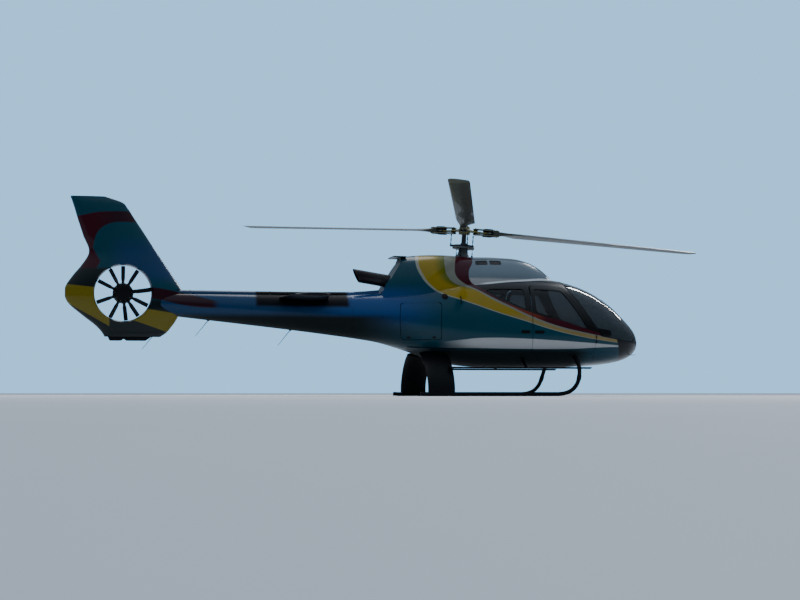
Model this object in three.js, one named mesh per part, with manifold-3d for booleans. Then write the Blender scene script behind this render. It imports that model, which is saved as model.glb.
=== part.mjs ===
// A light single-engine helicopter with a shrouded tail rotor, standing on its skids.
// Millimetres, +X towards the nose, +Y to its left, +Z up. Heights in the tables are above the ground.
// The part's origin is the middle of the cargo hook plate's face, under the belly on the rotor's line.
import * as THREE from "three";
import { mergeVertices } from "three/addons/utils/BufferGeometryUtils.js";
import Module from "manifold-3d";

const wasm = await Module();
wasm.setup();

const DEG = Math.PI / 180;
const SIDES = { left: 1, right: -1 };

// Driving dimensions
const ROTOR_RADIUS = 5345;
const HUB_HEIGHT = 3130;
const MAST_TILT = 4 * DEG;
const BLADE_AZIMUTHS = [14, 134, 254];
const BLADE_CONE = 1.5 * DEG;
const NOSE_X = 3390;
const CABIN_REAR_X = -450;
const BOOM_FRONT_X = -2200;
const HOOK_FACE_Z = 528;
const BELLY_Z = 550;
const SEAT_GAP = 0.4;
const DOOR_GAP = 5;
const WALL = 40;
const SILL_Z = 770;
const SKID_TRACK = 2400;
const SKID_RADIUS = 40;
const DUCT = { x: -6370, z: 1860, radius: 510 };

const PAINT = {
  teal: { color: 0x0d4a5c, roughness: 0.3, metalness: 0.1 },
  silver: { color: 0xb9bfc4, roughness: 0.3, metalness: 0.2 },
  black: { color: 0x14171a, roughness: 0.5, metalness: 0.1 },
  glass: { color: 0x20262a, roughness: 0.08, metalness: 0.0 },
  steel: { color: 0x5b6064, roughness: 0.35, metalness: 0.9 },
  rotor: { color: 0x2b2f31, roughness: 0.5, metalness: 0.1 },
  composite: { color: 0xa68a3a, roughness: 0.5, metalness: 0.0 },
  burnt: { color: 0x3a312c, roughness: 0.5, metalness: 0.8 },
  fabric: { color: 0x3c3f45, roughness: 0.9, metalness: 0.0 },
  lamp: { color: 0xe8ecf0, roughness: 0.1, metalness: 0.3 },
};

const helicopter = new THREE.Group();
helicopter.position.z = -HOOK_FACE_Z;
const rotorFrame = new THREE.Group();
rotorFrame.position.set(0, 0, HUB_HEIGHT);
rotorFrame.rotation.y = MAST_TILT;
rotorFrame.updateMatrix();
helicopter.add(rotorFrame);

// From three.js geometry to a closed solid and back
function solid(geometry) {
  const bare = geometry.clone();
  bare.deleteAttribute("normal");
  bare.deleteAttribute("uv");
  const merged = mergeVertices(bare, 1e-3);
  return new wasm.Manifold(
    new wasm.Mesh({
      numProp: 3,
      vertProperties: new Float32Array(merged.attributes.position.array),
      triVerts: new Uint32Array(merged.index.array),
    }),
  );
}

function geometryOf(manifold) {
  const mesh = manifold.getMesh();
  const places = new Float32Array(mesh.numVert * 3);
  for (let i = 0; i < mesh.numVert; i++) {
    places.set(mesh.vertProperties.subarray(i * mesh.numProp, i * mesh.numProp + 3), i * 3);
  }
  const geometry = new THREE.BufferGeometry();
  geometry.setAttribute("position", new THREE.BufferAttribute(places, 3));
  geometry.setIndex(new THREE.BufferAttribute(new Uint32Array(mesh.triVerts), 1));
  geometry.computeVertexNormals();
  return geometry;
}

function add(name, shape, paint, group = helicopter) {
  const mesh = new THREE.Mesh(geometryOf(shape), new THREE.MeshStandardMaterial(PAINT[paint]));
  mesh.name = name;
  group.add(mesh);
}

const box = (x0, x1, y0, y1, z0, z1) =>
  solid(new THREE.BoxGeometry(x1 - x0, y1 - y0, z1 - z0)
    .translate((x0 + x1) / 2, (y0 + y1) / 2, (z0 + z1) / 2));

// A cylinder along Z from z0 to z1, with its own radius at each end.
const upright = (r0, r1, z0, z1, sides = 18) =>
  solid(new THREE.CylinderGeometry(r1, r0, z1 - z0, sides)
    .rotateX(Math.PI / 2).translate(0, 0, (z0 + z1) / 2));

// A closed skin through rings of points. The first and last ring are capped from their middle.
function loft(rings) {
  const points = rings.flat();
  const triangles = [];
  const size = rings[0].length;
  for (let r = 0; r + 1 < rings.length; r++) {
    for (let i = 0; i < size; i++) {
      const a = r * size + i;
      const b = r * size + (i + 1) % size;
      triangles.push(a, b, b + size, a, b + size, a + size);
    }
  }
  for (const [first, turned] of [[0, true], [(rings.length - 1) * size, false]]) {
    const ring = points.slice(first, first + size);
    const middle = [0, 1, 2].map((k) => ring.reduce((sum, p) => sum + p[k], 0) / size);
    points.push(middle);
    for (let i = 0; i < size; i++) {
      const a = first + i;
      const b = first + (i + 1) % size;
      const tip = points.length - 1;
      triangles.push(...(turned ? [b, a, tip] : [a, b, tip]));
    }
  }
  const made = (order) => new wasm.Manifold(new wasm.Mesh({
    numProp: 3,
    vertProperties: new Float32Array(points.flat()),
    triVerts: new Uint32Array(order),
  }));
  const skin = made(triangles);
  return skin.volume() > 0 ? skin : made(triangles.reverse());
}

// A superellipse's point at a turn t: the exponent is 2 for an ellipse and more for a squarer form.
function squircle(t, fullness) {
  const bend = (v) => Math.sign(v) * Math.abs(v) ** (2 / fullness);
  return [bend(Math.cos(t)), bend(Math.sin(t))];
}

// A table's row at a place s, smooth through the rows, whose first column is s.
function between(table, s) {
  let i = 0;
  while (i < table.length - 2 && s > table[i + 1][0]) i++;
  const [a, b] = [table[i], table[i + 1]];
  const step = b[0] - a[0];
  const t = (s - a[0]) / step;
  const slope = (p, q, k) => (q[k] - p[k]) / (q[0] - p[0]);
  const tangent = (j, k) => {
    if (j === 0) return slope(table[0], table[1], k);
    if (j === table.length - 1) return slope(table[j - 1], table[j], k);
    const [before, here, after] = [table[j - 1], table[j], table[j + 1]];
    const [h0, h1] = [here[0] - before[0], after[0] - here[0]];
    return (slope(before, here, k) * h1 + slope(here, after, k) * h0) / (h0 + h1);
  };
  return a.map((value, k) => value * (1 + 2 * t) * (1 - t) ** 2 + tangent(i, k) * step * t * (1 - t) ** 2
    + b[k] * t * t * (3 - 2 * t) + tangent(i + 1, k) * step * t * t * (t - 1));
}

// One ring across X: flat-sided above and below its widest point by the two fullness values.
function crossRing(x, [bottom, top, half, waist, full, low], inset, count) {
  return Array.from({ length: count }, (_, i) => {
    const t = (i / count) * 2 * Math.PI;
    const above = i <= count / 2;
    const [across, up] = squircle(t, above ? full : low);
    const reach = above ? top - inset - waist : waist - bottom - inset;
    return [x, (half - inset) * across, waist + reach * up];
  });
}

// Fuselage stations from the nose to the boom joint.
// x, bottom, top, half width, height of the widest point, fullness above it, fullness below it
const BODY = [
  [3390, 1000, 1000, 0, 1000, 2.0, 2.0],
  [3340, 850, 1200, 235, 1015, 2.1, 2.1],
  [3100, 690, 1475, 555, 1045, 2.15, 2.2],
  [2770, 615, 1765, 735, 1085, 2.2, 2.3],
  [2400, 575, 2000, 855, 1120, 2.25, 2.4],
  [2000, 555, 2145, 930, 1150, 2.3, 2.5],
  [1500, 550, 2225, 990, 1170, 2.4, 2.6],
  [900, 550, 2245, 1015, 1190, 2.5, 2.7],
  [300, 550, 2235, 1000, 1220, 2.5, 2.7],
  [-200, 585, 2195, 945, 1260, 2.5, 2.6],
  [-700, 695, 2105, 815, 1320, 2.4, 2.4],
  [-1200, 860, 2000, 640, 1385, 2.3, 2.2],
  [-1700, 1000, 1930, 460, 1440, 2.1, 2.1],
  [-2200, 1080, 1890, 340, 1490, 2.0, 2.0],
];
const noseward = (x) => Math.sqrt(Math.max(0, NOSE_X - x) / 1000);
const BODY_BY_S = BODY.map(([x, ...rest]) => [noseward(x), ...rest]);
const BODY_RINGS = [3335, 3240, 3090, 2880, 2600, 2260, 1850, 1400, 900, 400, -50, -450, -850, -1250, -1700,
  BOOM_FRONT_X];
const BODY_POINTS = 28;

// The fuselage's outer form, taken in by inset. Its rings crowd towards the nose, which stays round.
function bodyForm(inset = 0) {
  const tip = NOSE_X - Math.max(inset, 1);
  const places = [tip, ...BODY_RINGS.filter((x) => x < tip - 10)];
  return loft(places.map((x) => crossRing(x, between(BODY_BY_S, noseward(x)).slice(1), inset, BODY_POINTS)));
}

// A form through every station of a table, at the stations' own places and steps between them.
function tableForm(table, inset, steps, count) {
  const byPlace = [...table].sort((a, b) => a[0] - b[0]);
  const [first, last] = [byPlace[0][0], byPlace[byPlace.length - 1][0]];
  return loft(Array.from({ length: steps + 1 }, (_, i) => {
    const x = first + ((last - first) * i) / steps;
    return crossRing(x, between(byPlace, x).slice(1), inset, count);
  }));
}

// Side-view outlines: corners as [x, height]
function roundedOutline(corners, radius) {
  const shape = new THREE.Shape();
  corners.forEach((corner, i) => {
    const here = new THREE.Vector2(...corner);
    const ends = [corners.at(i - 1), corners[(i + 1) % corners.length]].map((other) => {
      const towards = new THREE.Vector2(...other).sub(here);
      const cutBack = Math.min(radius, towards.length() / 3);
      return here.clone().addScaledVector(towards.normalize(), cutBack);
    });
    if (i === 0) shape.moveTo(ends[0].x, ends[0].y);
    else shape.lineTo(ends[0].x, ends[0].y);
    shape.quadraticCurveTo(here.x, here.y, ends[1].x, ends[1].y);
  });
  return shape;
}

// An outline pushed through the aircraft from y0 to y1.
function prism(corners, y0, y1, radius = 0) {
  const shape = radius
    ? roundedOutline(corners, radius)
    : new THREE.Shape(corners.map((c) => new THREE.Vector2(...c)));
  return solid(new THREE.ExtrudeGeometry(shape, { depth: y1 - y0, bevelEnabled: false, curveSegments: 2 })
    .rotateX(Math.PI / 2).translate(0, y1, 0));
}

// A convex outline with every edge moved in by the same amount.
function inset(corners, amount) {
  const area = corners.reduce((sum, [x, z], i) => {
    const [nx, nz] = corners[(i + 1) % corners.length];
    return sum + x * nz - nx * z;
  }, 0);
  const turn = Math.sign(area);
  const edges = corners.map(([x, z], i) => {
    const [nx, nz] = corners[(i + 1) % corners.length];
    const length = Math.hypot(nx - x, nz - z);
    const [ux, uz] = [(nx - x) / length, (nz - z) / length];
    return { x: x - turn * uz * amount, z: z + turn * ux * amount, ux, uz };
  });
  return edges.map((edge, i) => {
    const before = edges.at(i - 1);
    const cross = before.ux * edge.uz - before.uz * edge.ux;
    const along = ((edge.x - before.x) * edge.uz - (edge.z - before.z) * edge.ux) / cross;
    return [before.x + before.ux * along, before.z + before.uz * along];
  });
}

const WINDSHIELD = [[1800, 2600], [1800, 2050], [2420, 1120], [3000, 1035], [3600, 1035], [3600, 2600]];
const POST_HALF = 32;
const FRONT_DOOR = [[2300, 800], [2300, 1140], [1700, 2040], [1035, 2055], [1035, 800]];
const FRONT_DOOR_SWING_GAP = 16;
const FRONT_WINDOW = [[2144, 1240], [1672, 1965], [1115, 1985], [1115, 1545]];
const SLIDING_DOOR = [[1000, 800], [1000, 2055], [-130, 2030], [-330, 1750], [-330, 930], [-200, 800]];
const SLIDING_WINDOW = [[925, 1590], [925, 1985], [300, 1978], [195, 1935]];
const CORNER = 70;
// name, outline, corner radius, distance from the middle at which the pane starts
const PANES = [
  ["windshield", WINDSHIELD, 50, POST_HALF + SEAT_GAP],
  ["front_door_glass", FRONT_WINDOW, CORNER, 300],
  ["sliding_door_glass", SLIDING_WINDOW, CORNER, 300],
];

const outer = bodyForm();
const cavity = bodyForm(WALL);
const clearOfBody = bodyForm(-SEAT_GAP);
const wall = outer.subtract(cavity);
const paneForm = bodyForm(10).subtract(bodyForm(18));
const ahead = (x) => box(x, 4000, -1500, 1500, 0, 3000);
const flank = (corners, side, radius, from = 0, to = 1300) =>
  side > 0 ? prism(corners, from, to, radius) : prism(corners, -to, -from, radius);

function fuselage() {
  const cabin = wall.intersect(ahead(CABIN_REAR_X));
  const lower = cabin.intersect(box(-600, 4000, -1500, 1500, 0, SILL_Z - SEAT_GAP / 2));
  let frame = cabin.intersect(box(-600, 4000, -1500, 1500, SILL_Z + SEAT_GAP / 2, 3000));
  for (const side of Object.values(SIDES)) {
    frame = frame
      .subtract(flank(FRONT_DOOR, side, CORNER, 300))
      .subtract(flank(SLIDING_DOOR, side, CORNER, 300))
      .subtract(flank(WINDSHIELD, side, 50, POST_HALF));
  }
  add("lower_hull", lower, "teal");
  add("cabin_frame", frame.subtract(lampBore(LAMP.radius + SEAT_GAP)), "silver");
}

// Doors and panes, each cut from the same wall
function doorsAndGlass() {
  for (const [name, side] of Object.entries(SIDES)) {
    const frontCorners = inset(FRONT_DOOR, DOOR_GAP);
    frontCorners[3][0] += FRONT_DOOR_SWING_GAP;
    const front = wall.intersect(flank(frontCorners, side, CORNER, 300));
    add(`front_door_${name}`, front.subtract(flank(FRONT_WINDOW, side, CORNER, 300)), "teal");
    const sliding = wall.intersect(flank(inset(SLIDING_DOOR, 1), side, CORNER, 300));
    add(`sliding_door_${name}`, sliding.subtract(flank(SLIDING_WINDOW, side, CORNER, 300)), "teal");
    for (const [pane, corners, radius, start] of PANES) {
      const cut = flank(inset(corners, SEAT_GAP), side, radius, start);
      add(`${pane}_${name}`, largest(paneForm.intersect(cut)), "glass");
    }
  }
}

// Baggage doors lie on the tapering flank behind the cabin, so their outline is square to that flank.
const BAGGAGE = { frontX: -620, rearX: -1350, bottom: 1030, top: 1715, frontY: 770, rearY: 512, gap: 9 };
const BAGGAGE_HINGE = { z: 1712, radius: 9, clear: 9.7 };
const baggageYaw = Math.atan2(BAGGAGE.frontY - BAGGAGE.rearY, BAGGAGE.frontX - BAGGAGE.rearX);

function baggageCutter(side, amount) {
  const length = Math.hypot(BAGGAGE.frontX - BAGGAGE.rearX, BAGGAGE.frontY - BAGGAGE.rearY);
  const { bottom, top } = BAGGAGE;
  const outline = inset([[0, bottom], [0, top], [-length, top], [-length, bottom]], amount);
  return prism(outline, side > 0 ? -300 : -200, side > 0 ? 200 : 300, 60)
    .rotate([0, 0, side * (baggageYaw / DEG)])
    .translate([BAGGAGE.frontX, side * BAGGAGE.frontY, 0]);
}

// The rod along a baggage door's upper edge, on which it turns
function baggageRod(side, radius, margin) {
  const length = Math.hypot(BAGGAGE.frontX - BAGGAGE.rearX, BAGGAGE.frontY - BAGGAGE.rearY) - 2 * margin;
  return solid(new THREE.CylinderGeometry(radius, radius, length, 10).rotateZ(Math.PI / 2))
    .rotate([0, 0, side * (baggageYaw / DEG)])
    .translate([(BAGGAGE.frontX + BAGGAGE.rearX) / 2, (side * (BAGGAGE.frontY + BAGGAGE.rearY)) / 2,
      BAGGAGE_HINGE.z]);
}

function aftFuselage() {
  let aft = wall.intersect(box(BOOM_FRONT_X, CABIN_REAR_X - SEAT_GAP, -1500, 1500, 0, 3000));
  for (const [name, side] of Object.entries(SIDES)) {
    const door = aft.intersect(baggageCutter(side, BAGGAGE.gap));
    add(`baggage_door_${name}`, door.add(baggageRod(side, BAGGAGE_HINGE.radius, 60)), "teal");
  }
  for (const side of Object.values(SIDES)) {
    aft = aft.subtract(baggageCutter(side, 0)).subtract(baggageRod(side, BAGGAGE_HINGE.clear, 50));
  }
  add("aft_fuselage", aft, "teal");
}

// Upper cowlings over the gearbox and the engine: columns as in BODY
const COWL = [
  [1700, 1850, 2190, 200, 2000, 2.2, 2.0],
  [1560, 1800, 2330, 330, 2000, 2.3, 2.0],
  [1300, 1800, 2500, 440, 1980, 2.4, 2.0],
  [1080, 1800, 2575, 500, 1960, 2.6, 2.0],
  [600, 1800, 2620, 565, 1950, 2.8, 2.0],
  [0, 1800, 2625, 600, 1930, 2.8, 2.0],
  [-500, 1780, 2650, 600, 1900, 2.8, 2.0],
  [-900, 1740, 2640, 555, 1880, 2.6, 2.0],
  [-1300, 1700, 2590, 440, 1860, 2.4, 2.0],
  [-1700, 1680, 2480, 300, 1830, 2.2, 2.0],
];
const COWL_WALL = 25;
const COWL_SPLIT_X = -330;
const COWL_REAR = [[-1230, 2900], [-1285, 2500], [-1640, 1940], [-1640, 1500], [-2500, 1500], [-2500, 2900]];
const LIP = { front: -1180, rear: -1430, half: 260, bottom: 2586, top: 2610 };
const EXHAUST = {
  radius: 118, bore: 108, frontX: -1307, frontZ: 2121, length: 900, rise: 9, tipX: -2090, slant: 0.46,
};
const HOUSING = { baseRadius: 150, topRadius: 88, bore: 55, bottom: -720, top: -352 };

// A round bar on the exhaust's rising line, between two distances behind its front end
const exhaustBar = (radius, from, to) =>
  solid(new THREE.CylinderGeometry(radius, radius, to - from, 18)
    .rotateZ(Math.PI / 2).translate(-(from + to) / 2, 0, 0))
    .rotate([0, EXHAUST.rise, 0]).translate([EXHAUST.frontX, 0, EXHAUST.frontZ]);

// A piece drawn about the mast's line, put where the mast is
const onMast = (shape) =>
  shape.rotate([0, MAST_TILT / DEG, 0]).translate([0, 0, HUB_HEIGHT]);

function cowlings() {
  const rearward = prism(COWL_REAR, -900, 900);
  const skin = tableForm(COWL, 0, 10, 20).subtract(rearward);
  const hollow = tableForm(COWL, COWL_WALL, 10, 20).subtract(rearward.translate([COWL_WALL, 0, 0]));
  const lip = box(LIP.rear, LIP.front, -LIP.half, LIP.half, LIP.bottom, LIP.top);
  const shell = skin.add(lip).subtract(hollow).subtract(clearOfBody)
    .subtract(onMast(upright(HOUSING.baseRadius + SEAT_GAP, HOUSING.baseRadius + SEAT_GAP, -900, -300)))
    .subtract(exhaustBar(EXHAUST.radius + SEAT_GAP, -110, EXHAUST.length));
  const frontPart = shell.intersect(ahead(COWL_SPLIT_X + SEAT_GAP / 2));
  const rearPart = shell.intersect(box(-2500, COWL_SPLIT_X - SEAT_GAP / 2, -900, 900, 0, 3000));
  add("front_cowling", largest(frontPart), "silver");
  add("engine_cowling", largest(rearPart), "teal");
}

// The biggest of the separate bodies that a cut has left
function largest(shape) {
  return shape.decompose().reduce((best, piece) => (piece.volume() > best.volume() ? piece : best));
}

function machinery() {
  const gearbox = box(-280, 330, -230, 230, 2150, 2420).subtract(clearOfBody)
    .subtract(onMast(upright(HOUSING.baseRadius + SEAT_GAP, HOUSING.baseRadius + SEAT_GAP, -725, -300)));
  add("gearbox", largest(gearbox), "steel");
  const engine = box(-1285, -420, -260, 260, 1950, 2440).subtract(clearOfBody);
  add("engine", largest(engine), "steel");
  const pipe = exhaustBar(EXHAUST.radius, 0, EXHAUST.length)
    .subtract(exhaustBar(EXHAUST.bore, 60, EXHAUST.length + 10));
  const tipZ = EXHAUST.frontZ + (EXHAUST.frontX - EXHAUST.tipX) * Math.tan(EXHAUST.rise * DEG);
  const slope = 300 * EXHAUST.slant;
  const tipCut = prism([[EXHAUST.tipX - 400, tipZ - 300], [EXHAUST.tipX + slope, tipZ - 300],
    [EXHAUST.tipX - slope, tipZ + 300], [EXHAUST.tipX - 400, tipZ + 300]], -200, 200);
  add("exhaust_pipe", pipe.subtract(tipCut), "burnt");
}

// Tail boom stations: columns as in BODY
const BOOM = [
  [-2200, 1080, 1890, 340, 1490, 2.0, 2.0],
  [-3080, 1190, 1880, 285, 1540, 2.0, 2.0],
  [-4200, 1315, 1880, 240, 1600, 2.0, 2.0],
  [-5350, 1440, 1885, 190, 1665, 2.0, 2.0],
  [-5700, 1480, 1885, 172, 1685, 2.0, 2.0],
];
const BOOM_WALL = 14;
const COVER = { frontX: -1668, rearX: -5420, half: 88, height: 48 };

function tailBoom() {
  const boom = tableForm(BOOM, 0, 5, 16)
    .intersect(box(-6000, BOOM_FRONT_X - SEAT_GAP, -900, 900, 0, 3000));
  const inside = tableForm(BOOM, BOOM_WALL, 5, 16).intersect(box(-5686, 0, -900, 900, 0, 3000));
  add("tail_boom", boom.subtract(inside), "teal");
  const deck = (x) => (x > BOOM_FRONT_X
    ? between(BODY_BY_S, noseward(x))[2]
    : between([...BOOM].reverse(), x)[2]);
  const rings = Array.from({ length: 9 }, (_, i) => {
    const x = COVER.rearX + ((COVER.frontX - COVER.rearX) * i) / 8;
    const top = deck(x);
    return crossRing(x, [top - 120, top + COVER.height, COVER.half, top - 20, 2.3, 2.0], 0, 16);
  });
  const cover = loft(rings).subtract(clearOfBody).subtract(tableForm(BOOM, -SEAT_GAP, 5, 16));
  add("driveshaft_cover", largest(cover), "teal");
}

// Stabiliser halves: rows are y, leading edge, trailing edge, thickness
const STABILISER = [
  [150, -2640, -3560, 116],
  [1330, -2790, -3420, 84],
  [1365, -2830, -3390, 46],
];
const STABILISER_Z = 1805;

function stabilisers() {
  for (const [name, side] of Object.entries(SIDES)) {
    const rings = STABILISER.map(([y, front, rear, thick]) => Array.from({ length: 16 }, (_, i) => {
      const [along, up] = squircle((i / 16) * 2 * Math.PI, 2);
      const middle = (front + rear) / 2;
      const nose = 0.5 + 0.5 * along;
      return [middle + ((front - rear) / 2) * along, side * y,
        STABILISER_Z + (thick / 2) * up * (0.35 + 0.65 * Math.sqrt(nose))];
    }));
    add(`stabiliser_${name}`, loft(rings).subtract(tableForm(BOOM, -SEAT_GAP, 5, 16)), "black");
  }
}

// Fin and shroud stations: height, front edge, rear edge, half thickness
const TAIL = [
  [1070, -5700, -6690, 70],
  [1130, -5610, -6725, 120],
  [1250, -5500, -6830, 160],
  [1440, -5380, -7070, 190],
  [1700, -5310, -7360, 205],
  [1940, -5330, -7400, 205],
  [2160, -5470, -7270, 190],
  [2360, -5605, -7110, 160],
  [2580, -5755, -6985, 125],
  [2900, -5965, -7090, 100],
  [3250, -6200, -7205, 80],
  [3400, -6300, -7250, 70],
  [3520, -6420, -7290, 55],
  [3610, -6700, -7320, 30],
];
const FIN_SPLIT_Z = 2450;
const TAIL_WALL = 16;
const BUMPER = [[-6650, 1110], [-6600, 1000], [-6400, 1000], [-6350, 1035], [-6300, 1000], [-5960, 1000],
  [-5800, 1110]];
// Duct cutter's profile: radius and distance from the duct's middle
const DUCT_LIP = [[DUCT.radius, 110], [528, 165], [600, 260]];

// Turns a piece drawn about Z so that it lies about the duct's line, its top towards +Y
const inDuct = (shape) => shape.rotate([-90, 0, 0]).translate([DUCT.x, 0, DUCT.z]);

const lathe = (profile, sides) =>
  solid(new THREE.LatheGeometry(profile.map(([r, h]) => new THREE.Vector2(r, h)), sides)
    .rotateX(Math.PI / 2));

// The fin and shroud's form, taken in all round by inset
function tailForm(inset, count) {
  const last = TAIL.length - 1;
  return loft(TAIL.map(([z, front, rear, half], row) => Array.from({ length: count }, (_, i) => {
    const [along, across] = squircle((i / count) * 2 * Math.PI, 2.2);
    const height = row === 0 ? z + inset : row === last ? z - inset : z;
    return [(front + rear) / 2 + ((front - rear) / 2 - inset) * along, (half - inset) * across, height];
  })));
}

function tail() {
  const form = tailForm(0, 18);
  const hollow = tailForm(TAIL_WALL, 12);
  const liner = inDuct(upright(DUCT.radius + 2 * TAIL_WALL, DUCT.radius + 2 * TAIL_WALL, -300, 300, 24));
  const nest = box(-5720, -5000, -400, 400, 1000, 2200);
  const half = DUCT_LIP.map(([r, h]) => [r, h]);
  const profile = [[0, -260], ...half.map(([r, h]) => [r, -h]).reverse(), ...half, [0, 260]];
  const shroud = form.subtract(hollow.subtract(liner).subtract(nest))
    .intersect(box(-8000, -5000, -400, 400, 0, FIN_SPLIT_Z - SEAT_GAP / 2))
    .subtract(inDuct(lathe(profile, 36)))
    .subtract(tableForm(BOOM, -SEAT_GAP, 5, 16))
    .subtract(coverClearance());
  add("tail_shroud", largest(shroud), "teal");
  const fin = form.subtract(hollow);
  add("vertical_fin", fin.intersect(box(-8000, -5000, -400, 400, FIN_SPLIT_Z + SEAT_GAP / 2, 4000)), "teal");
  add("tail_bumper", largest(prism(BUMPER, -45, 45).subtract(tailForm(-SEAT_GAP, 18))), "black");
}

// Where the drive-shaft cover runs into the shroud
function coverClearance() {
  const half = COVER.half + SEAT_GAP;
  return box(COVER.rearX - SEAT_GAP, -5000, -half, half, 1800, 1885 + COVER.height + SEAT_GAP);
}

// Shrouded tail rotor: ten blades at uneven turns, seen from the right, degrees above straight ahead
const TAIL_BLADE_TURNS = [8, 58, 90, 118, 153, 200, 243, 277, 304, 334];
const TAIL_ROTOR = { hubRadius: 185, near: 14, far: 96, tip: 497, chord: 80, thick: 14, pitch: 24 };
const TAIL_GEARBOX = { radius: 172, back: 6, front: -150, nose: 120 };
const TAIL_SHAFT = { radius: 32, bore: 32.7, end: 70 };
const TAIL_STRUT_TURNS = [118, 243];

function tailRotor() {
  let rotor = upright(TAIL_ROTOR.hubRadius, TAIL_ROTOR.hubRadius - 25, TAIL_ROTOR.near, TAIL_ROTOR.far, 20);
  const middle = (TAIL_ROTOR.near + TAIL_ROTOR.far) / 2;
  const blade = new THREE.CylinderGeometry(1, 1, TAIL_ROTOR.tip - 150, 6)
    .scale(TAIL_ROTOR.chord / 2, 1, TAIL_ROTOR.thick / 2)
    .translate(0, (TAIL_ROTOR.tip + 150) / 2, 0);
  for (const turn of TAIL_BLADE_TURNS) {
    rotor = rotor.add(solid(blade).rotate([0, TAIL_ROTOR.pitch, 0]).rotate([0, 0, -turn - 90])
      .translate([0, 0, middle]));
  }
  rotor = rotor.subtract(upright(TAIL_SHAFT.bore, TAIL_SHAFT.bore, 0, TAIL_SHAFT.end + SEAT_GAP, 24));
  add("tail_fan", inDuct(rotor), "rotor");
  let stator = lathe([[0, TAIL_GEARBOX.front], [TAIL_GEARBOX.nose, TAIL_GEARBOX.front + 12],
    [TAIL_GEARBOX.radius, TAIL_GEARBOX.front + 60], [TAIL_GEARBOX.radius, TAIL_GEARBOX.back],
    [0, TAIL_GEARBOX.back]], 20);
  stator = stator.add(upright(TAIL_SHAFT.radius, TAIL_SHAFT.radius, 0, TAIL_SHAFT.end, 24));
  const reach = DUCT.radius - SEAT_GAP;
  const shaft = new THREE.CylinderGeometry(42, 42, reach - 100, 12).translate(0, (reach + 100) / 2, 0);
  stator = stator.add(solid(shaft).rotate([0, 0, -90 - TAIL_BLADE_TURNS[0]]).translate([0, 0, -75]));
  const strut = new THREE.CylinderGeometry(1, 1, reach - 100, 8)
    .scale(38, 1, 12).translate(0, (reach + 100) / 2, 0);
  for (const turn of TAIL_STRUT_TURNS) {
    stator = stator.add(solid(strut).rotate([0, -90, 0]).rotate([0, 0, -turn - 90]).translate([0, 0, -75]));
  }
  add("tail_fan_stator", inDuct(stator.intersect(upright(reach, reach, -200, 80, 36))), "black");
}

// Main rotor, drawn about the mast's line with the blades' plane at height 0
const MAST_RADIUS = 45;
const HUB = { boss: 165, armEnd: 560, armRoot: 95, armTip: 52, half: 12 };
const SLEEVE = { from: 205, to: 740, half: 70, gap: 40, plate: 20 };
const BEARING = { along: 240, radius: 46 };
const DAMPER = { from: 430, to: 582, half: 62 };
const BLADE_CHORD = 350;
const LINK_RADIUS = 250;
const SWASH = { fixedLow: -350, fixedHigh: -312, turnLow: -306, turnHigh: -268, radius: 205, bore: 62 };

// Blade stations: radius, chord, thickness, pitch in degrees, squareness
const BLADE = [
  [600, 130, 90, 0, 4.0],
  [760, 150, 84, 3, 3.0],
  [960, 250, 58, 6, 2.2],
  [1200, 350, 44, 8, 2.0],
  [2600, 350, 42, 5.5, 2.0],
  [4000, 350, 42, 3, 2.0],
  [5200, 350, 40, 0.8, 2.0],
  [5320, 325, 32, 0.6, 2.0],
  [ROTOR_RADIUS, 250, 14, 0.5, 2.0],
];

function bladeForm() {
  return loft(BLADE.map(([r, chord, thick, pitch, square]) => Array.from({ length: 12 }, (_, i) => {
    const [along, up] = squircle((i / 12) * 2 * Math.PI, square);
    const bluntness = Math.min(1, 0.3 + (square - 2));
    const slim = bluntness + (1 - bluntness) * Math.sqrt(0.5 + 0.5 * along);
    const forward = (chord / 2) * along - (chord - 130) * 0.25;
    const height = (thick / 2) * up * Math.min(1, slim);
    const [c, s] = [Math.cos(pitch * DEG), Math.sin(pitch * DEG)];
    return [r, -(forward * c) + height * s, forward * s + height * c];
  })));
}

function hubStar() {
  const star = new THREE.Shape();
  const spots = [];
  for (let arm = 0; arm < 3; arm++) {
    const turn = (BLADE_AZIMUTHS[arm]) * DEG;
    const spot = (along, across) => new THREE.Vector2(
      along * Math.cos(turn) - across * Math.sin(turn), along * Math.sin(turn) + across * Math.cos(turn));
    spots.push(spot(HUB.boss, -HUB.armRoot), spot(HUB.armEnd, -HUB.armTip), spot(HUB.armEnd, HUB.armTip),
      spot(HUB.boss, HUB.armRoot));
  }
  star.setFromPoints(spots);
  return solid(new THREE.ExtrudeGeometry(star, { depth: 2 * HUB.half, bevelEnabled: false })
    .translate(0, 0, -HUB.half));
}

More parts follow.
